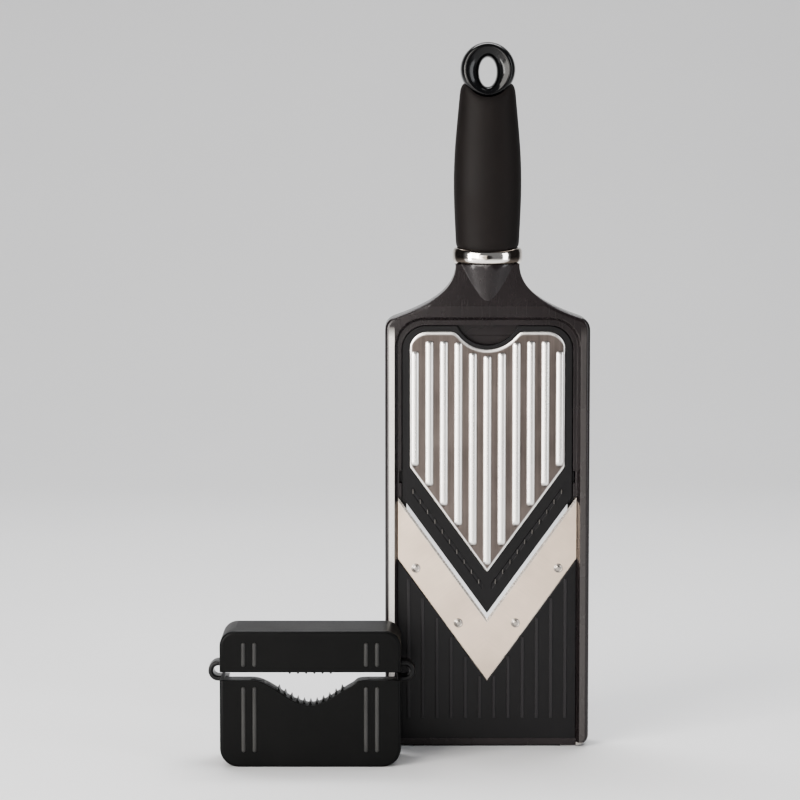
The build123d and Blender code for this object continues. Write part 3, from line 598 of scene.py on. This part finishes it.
# ---------------- operators
class SLICER_OT_grip(bpy.types.Operator):
    """Soft grip whose upper end is hollowed to wrap the end cap"""

    bl_idname = "slicer.grip"
    bl_label = "Grip"

    def execute(self, context):
        """Superellipse rings whose width and depth follow a quartic in height; the top ring follows the
        cap's disc, and the rings then close to the axis along that disc."""
        settings = context.scene.slicer_handle
        columns, shell_rows, end_rows = 128, 90, 14
        angle = np.linspace(0, FULL_TURN, columns, endpoint=False)
        c, s = superpower(angle, settings.grip_squareness)
        low, high = GRIP_LOW[2] + collar_dip(s), GRIP_HIGH[2]
        stations = np.array([0.0, 0.2, 0.45, 0.75, 1.0])  # shares of the height
        widths = np.polyfit(stations, np.array([33.8, 35.4, 36.2, 33.0, 29.4]) * MM / 2, 4)
        depths = np.polyfit(stations, np.array([26.0, 27.0, 27.8, 25.0, 22.0]) * MM / 2, 4)
        tip_gap, crown_sink, crowding = 0.6 * MM, 0.1 * MM, 1.15

        def disc(x):
            """Lower edge of the cap's disc above this x."""
            return CAP_Z - np.sqrt(np.maximum(CAP_RADIUS**2 - x**2, 0))

        def turned_in(depth, distance, reach):
            """Share by which an end turns in, fading with the distance from it."""
            return depth * np.exp(-distance / reach)

        top = np.minimum(disc(CAP_RADIUS * c), high - tip_gap)
        share = 1 - (1 - np.linspace(0, 1, shell_rows)) ** crowding
        z = low + share[:, None] * (top - low)[None]
        height = (z - GRIP_LOW[2]) / (high - GRIP_LOW[2])
        # Both ends turn in, the upper one further so that it meets the cap without a step
        turn = 1 - turned_in(0.045, z - low, 0.9 * MM) - turned_in(0.11, top[None] - z, 1.7 * MM)
        x = np.polyval(widths, height) * turn * c
        y = np.polyval(depths, height) * turn * s
        shell = np.stack([x, y, z], -1)
        inward = np.linspace(1, 0, end_rows)[1:, None]
        cap_x, cap_y = x[-1][None] * inward, y[-1][None] * inward
        cap_z = np.minimum(disc(cap_x), top[None]) - crown_sink * (1 - inward)
        crown = np.stack([cap_x, cap_y, cap_z], -1)
        outward = inward[::-1]
        foot = np.stack([x[0][None] * outward, y[0][None] * outward, 0 * cap_x + low], -1)
        points = np.concatenate([foot, shell, crown])
        faces = grid_faces(len(points), columns, wrap_columns=True)
        material = soft_rubber("grip_rubber", settings.grip_colour)
        new_piece("soft_grip", points, faces, material, "slicer", ["handle_grip"], 50.0)
        return {"FINISHED"}


class SLICER_OT_hang_ring(bpy.types.Operator):
    """Glossy ring around the hanging hole"""

    bl_idname = "slicer.hang_ring"
    bl_label = "Hanging ring"

    def execute(self, context):
        """Closed ring: at each angle about the hole a superellipse section fills the distance from the
        oval hole to the round outside, and the section is thinner towards the top."""
        settings = context.scene.slicer_handle
        rows, columns = 144, 72
        hole_drop = 1.3 * MM
        squareness = 2.9
        top_thinning = 1.6 * MM
        inner_flat, outer_swell = 0.80, 0.20
        angle = np.linspace(0, FULL_TURN, rows, endpoint=False)[:, None]
        turn = np.linspace(0, FULL_TURN, columns, endpoint=False)[None]
        a, b = settings.hole_width / 2, settings.hole_height / 2
        inner = a * b / np.sqrt((b * np.cos(angle)) ** 2 + (a * np.sin(angle)) ** 2)
        outer = hole_drop * np.sin(angle) + np.sqrt(CAP_RADIUS**2 - (hole_drop * np.cos(angle)) ** 2)
        c, s = superpower(turn, squareness)
        reach = (inner + outer) / 2 + (outer - inner) / 2 * c
        depth = (CAP_HIGH[1] - CAP_LOW[1]) / 2 - top_thinning * (1 + np.sin(angle)) / 2
        x = reach * np.cos(angle)
        y = depth * s * (inner_flat + outer_swell * c)
        z = CAP_Z - hole_drop + reach * np.sin(angle)
        points = np.stack([x, y, z], -1)
        faces = grid_faces(rows, columns, True, True)
        m = Recipe("cap_gloss")
        cloud = m.noise(90.0, 2.0)
        hair = m.noise(1.0, 2.0, m.stretched(1300.0, 300.0, 90.0)).above(0.66, 0.74)
        tone = m.mix(cloud, rgba(settings.cap_colour, 0.8), rgba(settings.cap_colour, 1.3))
        base = m.mix(hair * 0.4, tone, rgba(settings.cap_colour, 3.0))
        material = m.finish(
            Base_Color=base,
            Roughness=0.13 + cloud * 0.06 + hair * 0.12,
            Normal=m.bump(cloud, 0.00006),
            Specular_IOR_Level=0.3,
            Coat_Weight=0.12,
            Coat_Roughness=0.05,
        )
        nodes = ["handle_end_cap"]
        new_piece("hanging_ring", points, faces, material, "slicer", nodes, 60.0)
        return {"FINISHED"}


class SLICER_OT_collar(bpy.types.Operator):
    """Bowed chrome collar between neck and grip"""

    bl_idname = "slicer.collar"
    bl_label = "Collar"

    def execute(self, context):
        """Closed ring: a squarish superellipse section, bowed outward, carried round an ellipse."""
        settings = context.scene.slicer_handle
        rows, columns = 160, 56
        squareness = 3.6
        wall = 3.6 * MM
        bow_depth = 0.45 * MM
        angle = np.linspace(0, FULL_TURN, rows, endpoint=False)[:, None]
        turn = np.linspace(0, FULL_TURN, columns, endpoint=False)[None]
        c, s = superpower(turn, squareness)
        half_x = settings.collar_width / 2
        half_y = (COLLAR_HIGH[1] - COLLAR_LOW[1]) / 2
        height = COLLAR_HIGH[2] - COLLAR_LOW[2]
        # Only the outer side bows out, most at the middle of its height
        bow = bow_depth * (1 - s**2) * (c > 0)
        inset = wall * (1 - c) / 2 + bow_depth - bow
        x = (half_x - inset) * np.cos(angle)
        y = (half_y - inset) * np.sin(angle)
        middle = (COLLAR_LOW[2] + COLLAR_HIGH[2]) / 2
        z = middle + height / 2 * s + 0 * x
        z = z + collar_dip(np.sin(angle)) * np.clip((z - COLLAR_LOW[2]) / height, 0, 1)
        points = np.stack([x, y, z], -1)
        faces = grid_faces(rows, columns, True, True)
        m = Recipe("collar_chrome")
        cloud = m.noise(120.0, 3.0)
        hair = m.noise(1.0, 3.0, m.stretched(60.0, 60.0, 2600.0)).above(0.62, 0.74)
        bright = m.mix(cloud, (0.88, 0.83, 0.77, 1.0), (0.99, 0.94, 0.88, 1.0))
        # Painted dark reflections: the chrome's colour darkens where the surface turns halfway away from the
        # view, and painted shade darkens it at its outline.
        facing = m.node("ShaderNodeLayerWeight", {}, {"Blend": 0.5}, "Facing")
        painted_dark_reflection = facing.above(0.13, 0.20) * (1.0 - facing.above(0.48, 0.60))
        painted_edge_shade = 1.0 - facing.above(0.003, 0.012)
        base = m.mix(painted_dark_reflection * 0.93 + painted_edge_shade * 0.85, bright, (0.05, 0.035, 0.025, 1.0))
        material = m.finish(
            Base_Color=base,
            Metallic=1.0,
            Roughness=0.05 + cloud * 0.05 + hair * 0.10,
            Normal=m.bump(hair, 0.000003),
        )
        nodes = ["handle_collar"]
        new_piece("chrome_collar", points, faces, material, "slicer", nodes, 50.0)
        return {"FINISHED"}


class SLICER_OT_blade(bpy.types.Operator):
    """V blade with a ground bevel along both cutting edges"""

    bl_idname = "slicer.blade"
    bl_label = "Blade"

    def execute(self, context):
        """Closed section of drop below the edge against depth, carried across the channel so that every
        point of it follows a V line."""
        settings = context.scene.slicer_blade
        half = BLADE_HIGH[0]
        front, back = BLADE_LOW[1], BLADE_HIGH[1]
        edge_apex = BLADE_HIGH[2] - half / math.tan(V_ANGLE)
        drop = edge_apex - BLADE_LOW[2]
        bevel = settings.bevel / math.sin(V_ANGLE)
        nick = 0.12 * MM
        lip = 0.8 * MM
        bevel_rows, face_rows, back_rows, arm_columns = 6, 24, 20, 60
        drops = np.concatenate(
            [
                np.linspace(0, bevel, bevel_rows),
                np.linspace(bevel + nick, drop - 1.2 * lip, face_rows),
                [drop - lip, drop, drop, drop - nick],
                np.linspace(drop - 3 * nick, nick, back_rows),
                [0],
            ]
        )
        depths = np.concatenate(
            [
                back - nick - (back - front - 1.6 * nick) * np.linspace(0, 1, bevel_rows),
                np.full(face_rows, front),
                [front, front + 3 * nick, back - nick, back - 0.2 * nick],
                np.full(back_rows, back),
                [back - 0.2 * nick],
            ]
        )
        # Paler steel: the ground bevel is polished, and the pale outer edge is a painted highlight
        polish_and_edge_highlight = np.concatenate(
            [
                np.ones(bevel_rows),
                [0.6],
                np.zeros(face_rows - 1),
                [0.8, 1.0, 0.5],
                np.zeros(back_rows + 1),
                [1.0],
            ]
        )
        arm = np.linspace(nick, half, arm_columns)
        across = np.concatenate([[-half], np.linspace(-half, -nick, arm_columns), [0], arm, [half]])
        x = across[:, None] + 0 * drops[None]
        z = edge_apex - drops[None] + np.abs(across)[:, None] / math.tan(V_ANGLE)
        y = depths[None] + 0 * x
        # Each end closes on the middle of its section
        for end in (0, -1):
            y[end] = (front + back) / 2
            z[end] = z[end].mean()
        points = np.stack([x, y, z], -1)
        mask = (polish_and_edge_highlight[None] + 0 * x).ravel()
        faces = grid_faces(len(across), len(drops), wrap_columns=True)
        steel = blade_steel(settings.steel_colour)
        masks = {"edge": mask}
        new_piece("blade", points, faces, steel, "slicer", ["v_blade"], 20.0, masks)
        return {"FINISHED"}


class SLICER_OT_rivets(bpy.types.Operator):
    """Four turned rivets, each with a domed head in front and behind"""

    bl_idname = "slicer.rivets"
    bl_label = "Rivets"

    def execute(self, context):
        """Turned profile of radius against height, with a shallow ring near its rim."""
        settings = context.scene.slicer_blade
        low, high = span("blade_rivets")
        head_radius = 2.5 * MM
        skirt = 0.1 * MM
        inner_shift = 1.24 * MM  # the inner pair stands this much inside the line of the V
        rings, columns = 22, 40
        groove_depth, groove_place, groove_width = 0.45, 0.66, 0.10
        rim = np.linspace(0, 1, rings)
        groove = groove_depth * np.exp(-(((rim - groove_place) / groove_width) ** 2))
        dome = settings.rivet_dome * (1 - rim**2) ** 0.5 * (1 - groove)
        radius = np.concatenate([rim * head_radius, [head_radius, 0]])
        height = np.concatenate([dome, [-skirt, -skirt]])
        angle = np.linspace(0, FULL_TURN, columns, endpoint=False)
        outer_z = high[2] - head_radius
        inner_z = low[2] + head_radius
        outer_x = high[0] - head_radius
        inner_x = outer_x - (outer_z - inner_z) * math.tan(V_ANGLE) - inner_shift
        grids = []
        for x, z in ((outer_x, outer_z), (inner_x, inner_z)):
            for side in (-1, 1):
                for face, outward in (
                    (low[1] + settings.rivet_dome, -1),
                    (high[1] - settings.rivet_dome, 1),
                ):
                    grid_x = side * x + radius[:, None] * np.cos(angle)
                    grid_z = z + radius[:, None] * np.sin(angle)
                    grid_y = face + outward * height[:, None] + 0 * grid_x
                    grids.append(np.stack([grid_x, grid_y, grid_z], -1))
        points, faces = stack_grids(grids, wrap_columns=True)
        warm_grey = (0.50, 0.46, 0.42)
        material = plain_metal("rivet_steel", warm_grey, rough=0.20, line_scale=(900.0, 60.0, 900.0))
        new_piece("rivet_heads", points, faces, material, "slicer", ["blade_rivets"], 40.0)
        return {"FINISHED"}


def pressed_sheet(name, node, outward, corner, settings, material, body):
    """Height field over a shield outline, thickened into a sheet.

    Each column runs from the V foot to the rounded, notched top. Ridges are powers of a half cosine
    across and fade over a short ramp at both ends, the border rolls back, and a dimple marks each foot.
    """
    low, high = span(node)
    half = high[0]
    apex = low[2]
    top = high[2]
    face = (low[1] + settings.ridge_rise) if outward < 0 else (high[1] - settings.ridge_rise)
    notch_z = CARRIER_HIGH[2] + 7.5 * MM
    notch_radius = 20.6 * MM
    side_margin = 1 * MM
    foot_gap, top_gap, shoulder_gap, notch_gap = 1.0 * MM, 5.0 * MM, 10.5 * MM, 3.2 * MM
    blend, ramp = 1.1 * MM, 1.6 * MM
    roll_depth, roll_reach, rim_reach = 0.30 * MM, 0.28 * MM, 0.75 * MM
    tick_depth, tick_drop, tick_width, tick_height = 0.22 * MM, 0.3 * MM, 0.9 * MM, 0.55 * MM
    per_ridge, margin_columns, rows = 16, 17, 150
    last = settings.ridges - 1
    columns = settings.ridges * per_ridge + margin_columns
    x = half * np.linspace(-1, 1, columns)
    foot = apex + np.abs(x) / math.tan(V_ANGLE)
    run = np.maximum(np.abs(x) - (half - corner), 0)
    shoulder = top - corner + np.sqrt(np.maximum(corner**2 - run**2, 0))
    dip = notch_z - np.sqrt(np.maximum(notch_radius**2 - x**2, (0.2 * notch_radius) ** 2))
    crown = -blend * np.log(np.exp(-shoulder / blend) + np.exp(-dip / blend))
    crown = np.minimum(crown, shoulder)
    # Rows crowd together at both ends so that the rolled border is smooth
    crowding = 0.11
    share = np.linspace(0, 1, rows)
    share = share - crowding * np.sin(FULL_TURN * share)
    z = foot + share[:, None] * (crown - foot)
    pitch = (2 * half - settings.ridge_width - side_margin) / last
    number = np.clip(np.round(x / pitch + last / 2), 0, last)
    centre = (number - last / 2) * pitch
    offset = np.abs(x - centre) / (settings.ridge_width / 2)
    # The flanks are steeper than a plain half cosine and the top is flatter
    shape = np.sin(np.clip((1 - offset) * 1.35, 0, 1) * math.pi / 2) ** 1.3
    centre_foot = apex + (np.abs(centre) + settings.ridge_width / 2) / math.tan(V_ANGLE) + foot_gap
    under_notch = notch_z - np.sqrt(np.maximum(notch_radius**2 - centre**2, 0)) - notch_gap
    centre_top = np.minimum(top - top_gap, under_notch)
    edge_ridge = np.abs(centre) > half - corner / 2
    centre_top = np.where(edge_ridge, top - shoulder_gap, centre_top)
    ends = np.clip((z - centre_foot) / ramp, 0, 1) * np.clip((centre_top - z) / ramp, 0, 1)
    ridge = shape[None] * np.sin(ends * math.pi / 2)
    border = np.minimum(np.minimum(z - foot, crown - z) * math.sin(V_ANGLE), (half - np.abs(x))[None])
    roll = np.exp(-np.maximum(border, 0) / roll_reach)
    tick_z = centre_foot - tick_drop
    tick = np.exp(-(((x - centre) / tick_width) ** 2) - ((z - tick_z) / tick_height) ** 2)
    tick = tick * (np.abs(centre) > pitch / 2)
    raised = settings.ridge_rise * ridge - roll_depth * roll - tick_depth * tick
    points = np.stack([x[None] + 0 * z, face + outward * raised, z], -1)
    faces = grid_faces(rows, columns)
    if outward > 0:
        faces = faces[:, ::-1]
    # Mask of the rolled border, which the material paints as bright as the ridges: a painted highlight
    rim = np.exp(-((np.maximum(border, 0) / rim_reach) ** 4))
    masks = {"ridge": ridge, "tick": tick, "rim": rim}
    piece = new_piece(name, points, faces, material, body, [node], 35.0, masks, closed=False)
    thickness = piece.modifiers.new("Sheet thickness", "SOLIDIFY")
    thickness.thickness = 0.75 * MM
    thickness.offset = -1.0
    return piece


class SLICER_OT_sheets(bpy.types.Operator):
    """Pressed steel sheets on both sides of the insert"""

    bl_idname = "slicer.sheets"
    bl_label = "Insert sheets"

    def execute(self, context):
        settings = context.scene.slicer_insert
        material = sheet_steel("sheet_steel", settings.ridge_highlight_colour, settings.valley_shade_colour)
        for name, node, outward, corner in (
            ("julienne_plate", "julienne_sheet", -1, 9.7 * MM),
            ("slicing_plate", "slicing_sheet", 1, 11.5 * MM),
        ):
            pressed_sheet(name, node, outward, corner, settings, material, "insert")
        teeth = tooth_steel("tooth_steel", CARRIER_LOW[1])
        for node in ("julienne_blades_left", "julienne_blades_right"):
            paint_node(node, teeth)
        return {"FINISHED"}


class SLICER_OT_ears(bpy.types.Operator):
    """Springy U-shaped ears of the food holder"""

    bl_idname = "slicer.ears"
    bl_label = "Spring ears"

    def execute(self, context):
        """Rounded-strip section carried along two straight legs and the half circle that joins them."""
        wall = 2.8 * MM
        squareness = 5.0
        legs = np.linspace(0, 1, 8)[:-1]
        straight = np.ones(len(legs))
        sweep = np.linspace(-math.pi / 2, math.pi / 2, 33)
        out_z = np.concatenate([-straight, np.sin(sweep), straight])
        turn = np.linspace(0, FULL_TURN, 48, endpoint=False)
        c, s = superpower(turn, squareness)
        # The first and last sections shrink to a point, which closes the strip
        index = np.concatenate([[0], np.arange(len(out_z)), [len(out_z) - 1]])
        scale = np.ones((len(index), 1))
        scale[[0, -1]] = 0
        thick = wall / 2 * c[None] * scale
        black = (0.006, 0.006, 0.0065)
        plastic = moulded_plastic("ear_plastic", black, rough=0.28, grain=2400.0, grain_depth=0.00001)
        for name, node in (("ear_left", "holder_spring_left"), ("ear_right", "holder_spring_right")):
            low, high = span(node)
            side = -1 if "left" in node else 1
            bend_radius = (high[2] - low[2] - wall) / 2
            tip, root = (low[0], high[0]) if side < 0 else (high[0], low[0])
            bend_x = tip - side * (bend_radius + wall / 2)
            leg_x = root + legs * (bend_x - root)
            bend = bend_x + side * bend_radius * np.cos(sweep)
            path_x = np.concatenate([leg_x, bend, leg_x[::-1]])
            path_z = (low[2] + high[2]) / 2 + bend_radius * out_z
            out_x = np.concatenate([0 * legs, side * np.cos(sweep), 0 * legs])
            x = path_x[index][:, None] + out_x[index][:, None] * thick
            z = path_z[index][:, None] + out_z[index][:, None] * thick
            y = (low[1] + high[1]) / 2 + (high[1] - low[1]) / 2 * s[None] * scale
            points = np.stack([x, y, z], -1)
            faces = grid_faces(len(index), len(turn), wrap_columns=True)
            ear = new_piece(name, points, faces, plastic, "holder_base", [node], 40.0)
            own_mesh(ear)
        return {"FINISHED"}


class SLICER_OT_bars(bpy.types.Operator):
    """Raised soft bars on the front of the food holder"""

    bl_idname = "slicer.bars"
    bl_label = "Grip bars"

    def execute(self, context):
        """Long flattened capsules: elliptical rings as wide as the bar and as deep as it stands proud.

        The rings keep their size along the bar and shrink as a quarter circle at its ends.
        """
        colour = context.scene.slicer_mouldings.bar_highlight_colour
        # Paler than the holder: a painted highlight on the bars
        material = soft_rubber("bar_rubber", colour, rough=0.5, grain=3000.0)
        width = 2.2 * MM
        pitch = 5.8 * MM
        radius = width / 2
        end_rows, side_rows, columns = 9, 22, 28
        turn = np.linspace(0, FULL_TURN, columns, endpoint=False)[None]
        tilt = np.linspace(0, math.pi / 2, end_rows)
        ring = np.concatenate([np.sin(tilt), np.ones(side_rows), np.cos(tilt)])[:, None]
        ends = radius * (1 - np.cos(tilt))
        for name, node, body in (
            ("lower_bars", "holder_lower_grips", "holder_base"),
            ("upper_bars", "holder_upper_grips", "holder_top"),
        ):
            low, high = span(node)
            middle = (low[0] + high[0]) / 2
            outer = (high[0] - low[0] - width) / 2
            rise = high[1] - low[1]
            straight = np.linspace(low[2] + radius, high[2] - radius, side_rows + 2)[1:-1]
            z = np.concatenate([low[2] + ends, straight, high[2] - ends[::-1]])[:, None]
            grids = []
            for offset in (outer, outer - pitch):
                for side in (-1, 1):
                    x = middle + side * offset + radius * ring * np.cos(turn)
                    y = high[1] + rise * ring * np.sin(turn)
                    grids.append(np.stack([x, y, z + 0 * x], -1))
            points, faces = stack_grids(grids, wrap_columns=True)
            new_piece(name, points, faces, material, body, [node], 60.0)
        return {"FINISHED"}


class SLICER_OT_mouldings(bpy.types.Operator):
    """Finishes of the frame, deck, insert carrier, foot and inner pieces"""

    bl_idname = "slicer.mouldings"
    bl_label = "Mouldings"

    def execute(self, context):
        settings = context.scene.slicer_mouldings
        half = span("frame_body")[1][0]
        rail_front = DECK_FACE - 3.1 * MM
        rib_face = DECK_FACE + 0.3 * MM
        # Painted highlight shares: the lit left rail, the right rail, and the painted reflection along the
        # lower edge
        left_share, right_share, bottom_edge_share = 0.95, 0.05, 0.45
        bottom_edge_height = 2.6 * MM
        blur = 0.2 * MM

        def painted_rail_highlight(x, y, z):
            """Painted highlight: a pale line on the rail land, nearly all on the lit left rail, and a pale
            lower edge as a painted reflection of the floor.
            """
            inner = abs(x).above(half - 5.2 * MM, half - 4.9 * MM)
            land = inner * (half - abs(x)).above(1.7 * MM, 2.3 * MM)
            lit_side_share = (0.0 - x).above(0.0, MM) * left_share + right_share
            front = (rail_front + 0.3 * MM - y).above(0.0, blur)
            below = (bottom_edge_height - z).above(0.0, 0.5 * MM)
            bottom_edge_reflection = below * (rail_front + 3.3 * MM - y).above(0.0, blur)
            painted_land_highlight = land * lit_side_share * front
            return painted_land_highlight * (CARRIER_HIGH[2] - z).above(0.0, 6 * MM) + bottom_edge_reflection * bottom_edge_share

        def painted_rib_highlight(x, y, z):
            """Painted highlight on the raised faces of the deck's ribs."""
            return (rib_face - y).above(0.0, blur)

        frame_plastic = moulded_plastic(
            "frame_plastic",
            settings.frame_colour,
            rough=0.27,
            grain=1500.0,
            grain_depth=0.000008,
            edge_gain=3.5,
            coat=0.3,
            highlight_mask=painted_rail_highlight,
            highlight_colour=settings.rail_highlight_colour,
        )
        # The deck's pale rib tops are a painted highlight, and its strong edge gain makes the paler worn
        # edges partly a painted highlight on the ribs
        deck_plastic = moulded_plastic(
            "deck_plastic",
            settings.deck_colour,
            rough=0.34,
            grain=1800.0,
            grain_depth=0.00001,
            edge_gain=4.5,
            highlight_mask=painted_rib_highlight,
            highlight_colour=settings.rib_highlight_colour,
        )
        carrier_plastic = moulded_plastic(
            "carrier_plastic",
            settings.deck_colour,
            rough=0.40,
            grain=2200.0,
            grain_depth=0.000014,
            edge_gain=4.0,
        )
        core_grey, foot_grey = (0.03, 0.03, 0.03), (0.010, 0.010, 0.010)
        core_plastic = moulded_plastic("core_plastic", core_grey, 0.5, grain=1800.0, grain_depth=0.00003)
        foot_rubber = soft_rubber("foot_rubber", foot_grey, rough=0.7, grain=1800.0)
        screw_metal = plain_metal("screw_metal", (0.5, 0.5, 0.51), 0.3, line_scale=(500.0, 500.0, 1200.0))
        for node, material in (
            ("frame_body", frame_plastic),
            ("landing_deck", deck_plastic),
            ("insert_carrier", carrier_plastic),
            ("handle_tang", core_plastic),
            ("end_foot", foot_rubber),
            ("tang_screws", screw_metal),
        ):
            paint_node(node, material)
        for node, width in (
            ("frame_body", 0.35 * MM),
            ("landing_deck", 0.15 * MM),
            ("insert_carrier", 0.3 * MM),
            ("end_foot", 0.3 * MM),
        ):
            soften_edges(node, width)
        return {"FINISHED"}


class SLICER_OT_holder(bpy.types.Operator):
    """Finishes of the food holder's shells and jaws"""

    bl_idname = "slicer.holder"
    bl_label = "Food holder"

    def execute(self, context):
        settings = context.scene.slicer_mouldings
        colour = settings.holder_colour
        shell = moulded_plastic(
            "holder_plastic", colour, rough=0.40, grain=1700.0, grain_depth=0.00002, edge_gain=5.0, shine=0.16
        )
        jaw = moulded_plastic(
            "jaw_plastic", colour, rough=0.36, grain=2400.0, grain_depth=0.00001, edge_gain=4.0, shine=0.2
        )
        for node in ("holder_lower_shell", "holder_upper_shell"):
            paint_node(node, shell)
            soften_edges(node, 0.4 * MM)
        for node in ("holder_lower_jaw", "holder_upper_jaw"):
            paint_node(node, jaw)
            soften_edges(node, 0.15 * MM)
        return {"FINISHED"}


def area_light(name, place, target, size, power, colour):
    """Soft rectangular light at a place, turned to a target."""
    data = bpy.data.lights.new(name, "AREA")
    data.shape = "RECTANGLE"
    data.size, data.size_y = size
    data.energy = power
    data.color = colour
    light = bpy.data.objects.new(name, data)
    bpy.context.scene.collection.objects.link(light)
    light.location = place
    light.rotation_euler = (Vector(target) - Vector(place)).to_track_quat("-Z", "Y").to_euler()
    return light


class SLICER_OT_stage(bpy.types.Operator):
    """Pale floor that sweeps up behind, softboxes and camera"""

    bl_idname = "slicer.stage"
    bl_label = "Stage"

    def execute(self, context):
        """The floor is a straight run, a quarter circle and a wall, carried sideways."""
        settings = context.scene.slicer_stage
        scene = context.scene
        floor_reach, bend_start, bend_radius, wall_top = 14.0, 1.2, 1.0, 4.0
        columns = 12
        arc = np.linspace(0, math.pi / 2, 24)
        bend_y = bend_start + bend_radius * np.sin(arc)
        y = np.concatenate([[-floor_reach], bend_y, [bend_start + bend_radius]])
        z = np.concatenate([[0.0], bend_radius - bend_radius * np.cos(arc), [wall_top]])
        x = np.linspace(-floor_reach, floor_reach, columns)
        points = np.stack(np.broadcast_arrays(x[:, None], y[None], z[None]), -1)
        mesh = bpy.data.meshes.new("floor")
        mesh.from_pydata(points.reshape(-1, 3).tolist(), [], grid_faces(columns, len(y)).tolist())
        mesh.shade_smooth()
        floor = bpy.data.objects.new("floor", mesh)
        scene.collection.objects.link(floor)
        m = Recipe("floor_paper")
        colour = settings.floor_colour
        base = m.mix(m.noise(3.0, 2.0), rgba(colour, 0.97), rgba(colour, 1.03))
        mesh.materials.append(m.finish(Base_Color=base, Roughness=0.75))
        floor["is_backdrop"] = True
        low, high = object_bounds()
        middle = (low + high) / 2
        lights = (
            ("key_softbox", (-0.85, -1.15, 0.75), (0.7, 1.3), settings.key_power, (1.0, 0.97, 0.93)),
            ("fill_softbox", (1.1, -0.9, 0.5), (0.4, 1.2), settings.fill_power, (0.96, 0.98, 1.0)),
            ("top_softbox", (0.1, 0.35, 1.4), (1.4, 0.7), 12.0, (1.0, 1.0, 1.0)),
            ("front_softbox", (-0.55, -1.95, 0.35), (1.0, 0.9), 11.0, (1.0, 0.96, 0.92)),
            ("rail_strip", (-0.75, -0.62, 0.20), (0.16, 0.8), 5.0, (1.0, 0.98, 0.96)),
            ("wall_wash", (-0.1, 1.0, 2.2), (2.4, 0.5), 30.0, (1.0, 1.0, 1.0)),
        )
        for name, place, size, power, colour in lights:
            area_light(name, place, middle, size, power, colour)
        world = bpy.data.worlds.new("studio")
        scene.world = world
        world.use_nodes = True
        backdrop = world.node_tree.nodes["Background"].inputs
        backdrop["Color"].default_value = (0.72, 0.74, 0.77, 1.0)
        backdrop["Strength"].default_value = 0.26
        scene.view_settings.view_transform = "AgX"
        scene.view_settings.look = "AgX - Medium High Contrast"
        camera_data = bpy.data.cameras.new("camera")
        camera_data.lens = settings.lens
        camera = bpy.data.objects.new("camera", camera_data)
        scene.collection.objects.link(camera)
        room = 1.12  # height of the view over the height of the part
        reach = (high.z - low.z) / 2 * room * settings.lens / (camera_data.sensor_width / 2)
        back = Vector((0.0, -math.cos(settings.elevation), math.sin(settings.elevation)))
        camera.location = middle + back * reach
        camera.rotation_euler = (-back).to_track_quat("-Z", "Y").to_euler()
        camera_data.clip_end = 50.0
        scene.camera = camera
        return {"FINISHED"}


class SLICER_PT_panel(bpy.types.Panel):
    """Slicer pieces and their settings"""

    bl_idname = "SLICER_PT_panel"
    bl_label = "Mandoline slicer"
    bl_space_type = "VIEW_3D"
    bl_region_type = "UI"
    bl_category = "Slicer"

    def draw(self, context):
        layout = self.layout
        for key, group in GROUPS.items():
            box = layout.box()
            box.label(text=group.__doc__)
            for name in group.__annotations__:
                box.prop(getattr(context.scene, key), name)
        for operator in OPERATORS:
            layout.operator(operator.bl_idname)


GROUPS = {
    "slicer_handle": SlicerHandle,
    "slicer_blade": SlicerBlade,
    "slicer_insert": SlicerInsert,
    "slicer_mouldings": SlicerMouldings,
    "slicer_stage": SlicerStage,
}
OPERATORS = (
    SLICER_OT_mouldings,
    SLICER_OT_grip,
    SLICER_OT_hang_ring,
    SLICER_OT_collar,
    SLICER_OT_blade,
    SLICER_OT_rivets,
    SLICER_OT_sheets,
    SLICER_OT_holder,
    SLICER_OT_ears,
    SLICER_OT_bars,
    SLICER_OT_stage,
)


def register():
    """Register the settings, operators and panel."""
    for cls in (*GROUPS.values(), *OPERATORS, SLICER_PT_panel):
        bpy.utils.register_class(cls)
    for key, group in GROUPS.items():
        setattr(bpy.types.Scene, key, PointerProperty(type=group))


def unregister():
    """Undo register()."""
    for key in GROUPS:
        delattr(bpy.types.Scene, key)
    for cls in (SLICER_PT_panel, *reversed(OPERATORS), *reversed(GROUPS.values())):
        bpy.utils.unregister_class(cls)


def main():
    register()
    for operator in OPERATORS:
        area, name = operator.bl_idname.split(".")
        getattr(getattr(bpy.ops, area), name)()


if __name__ == "__main__":
    main()
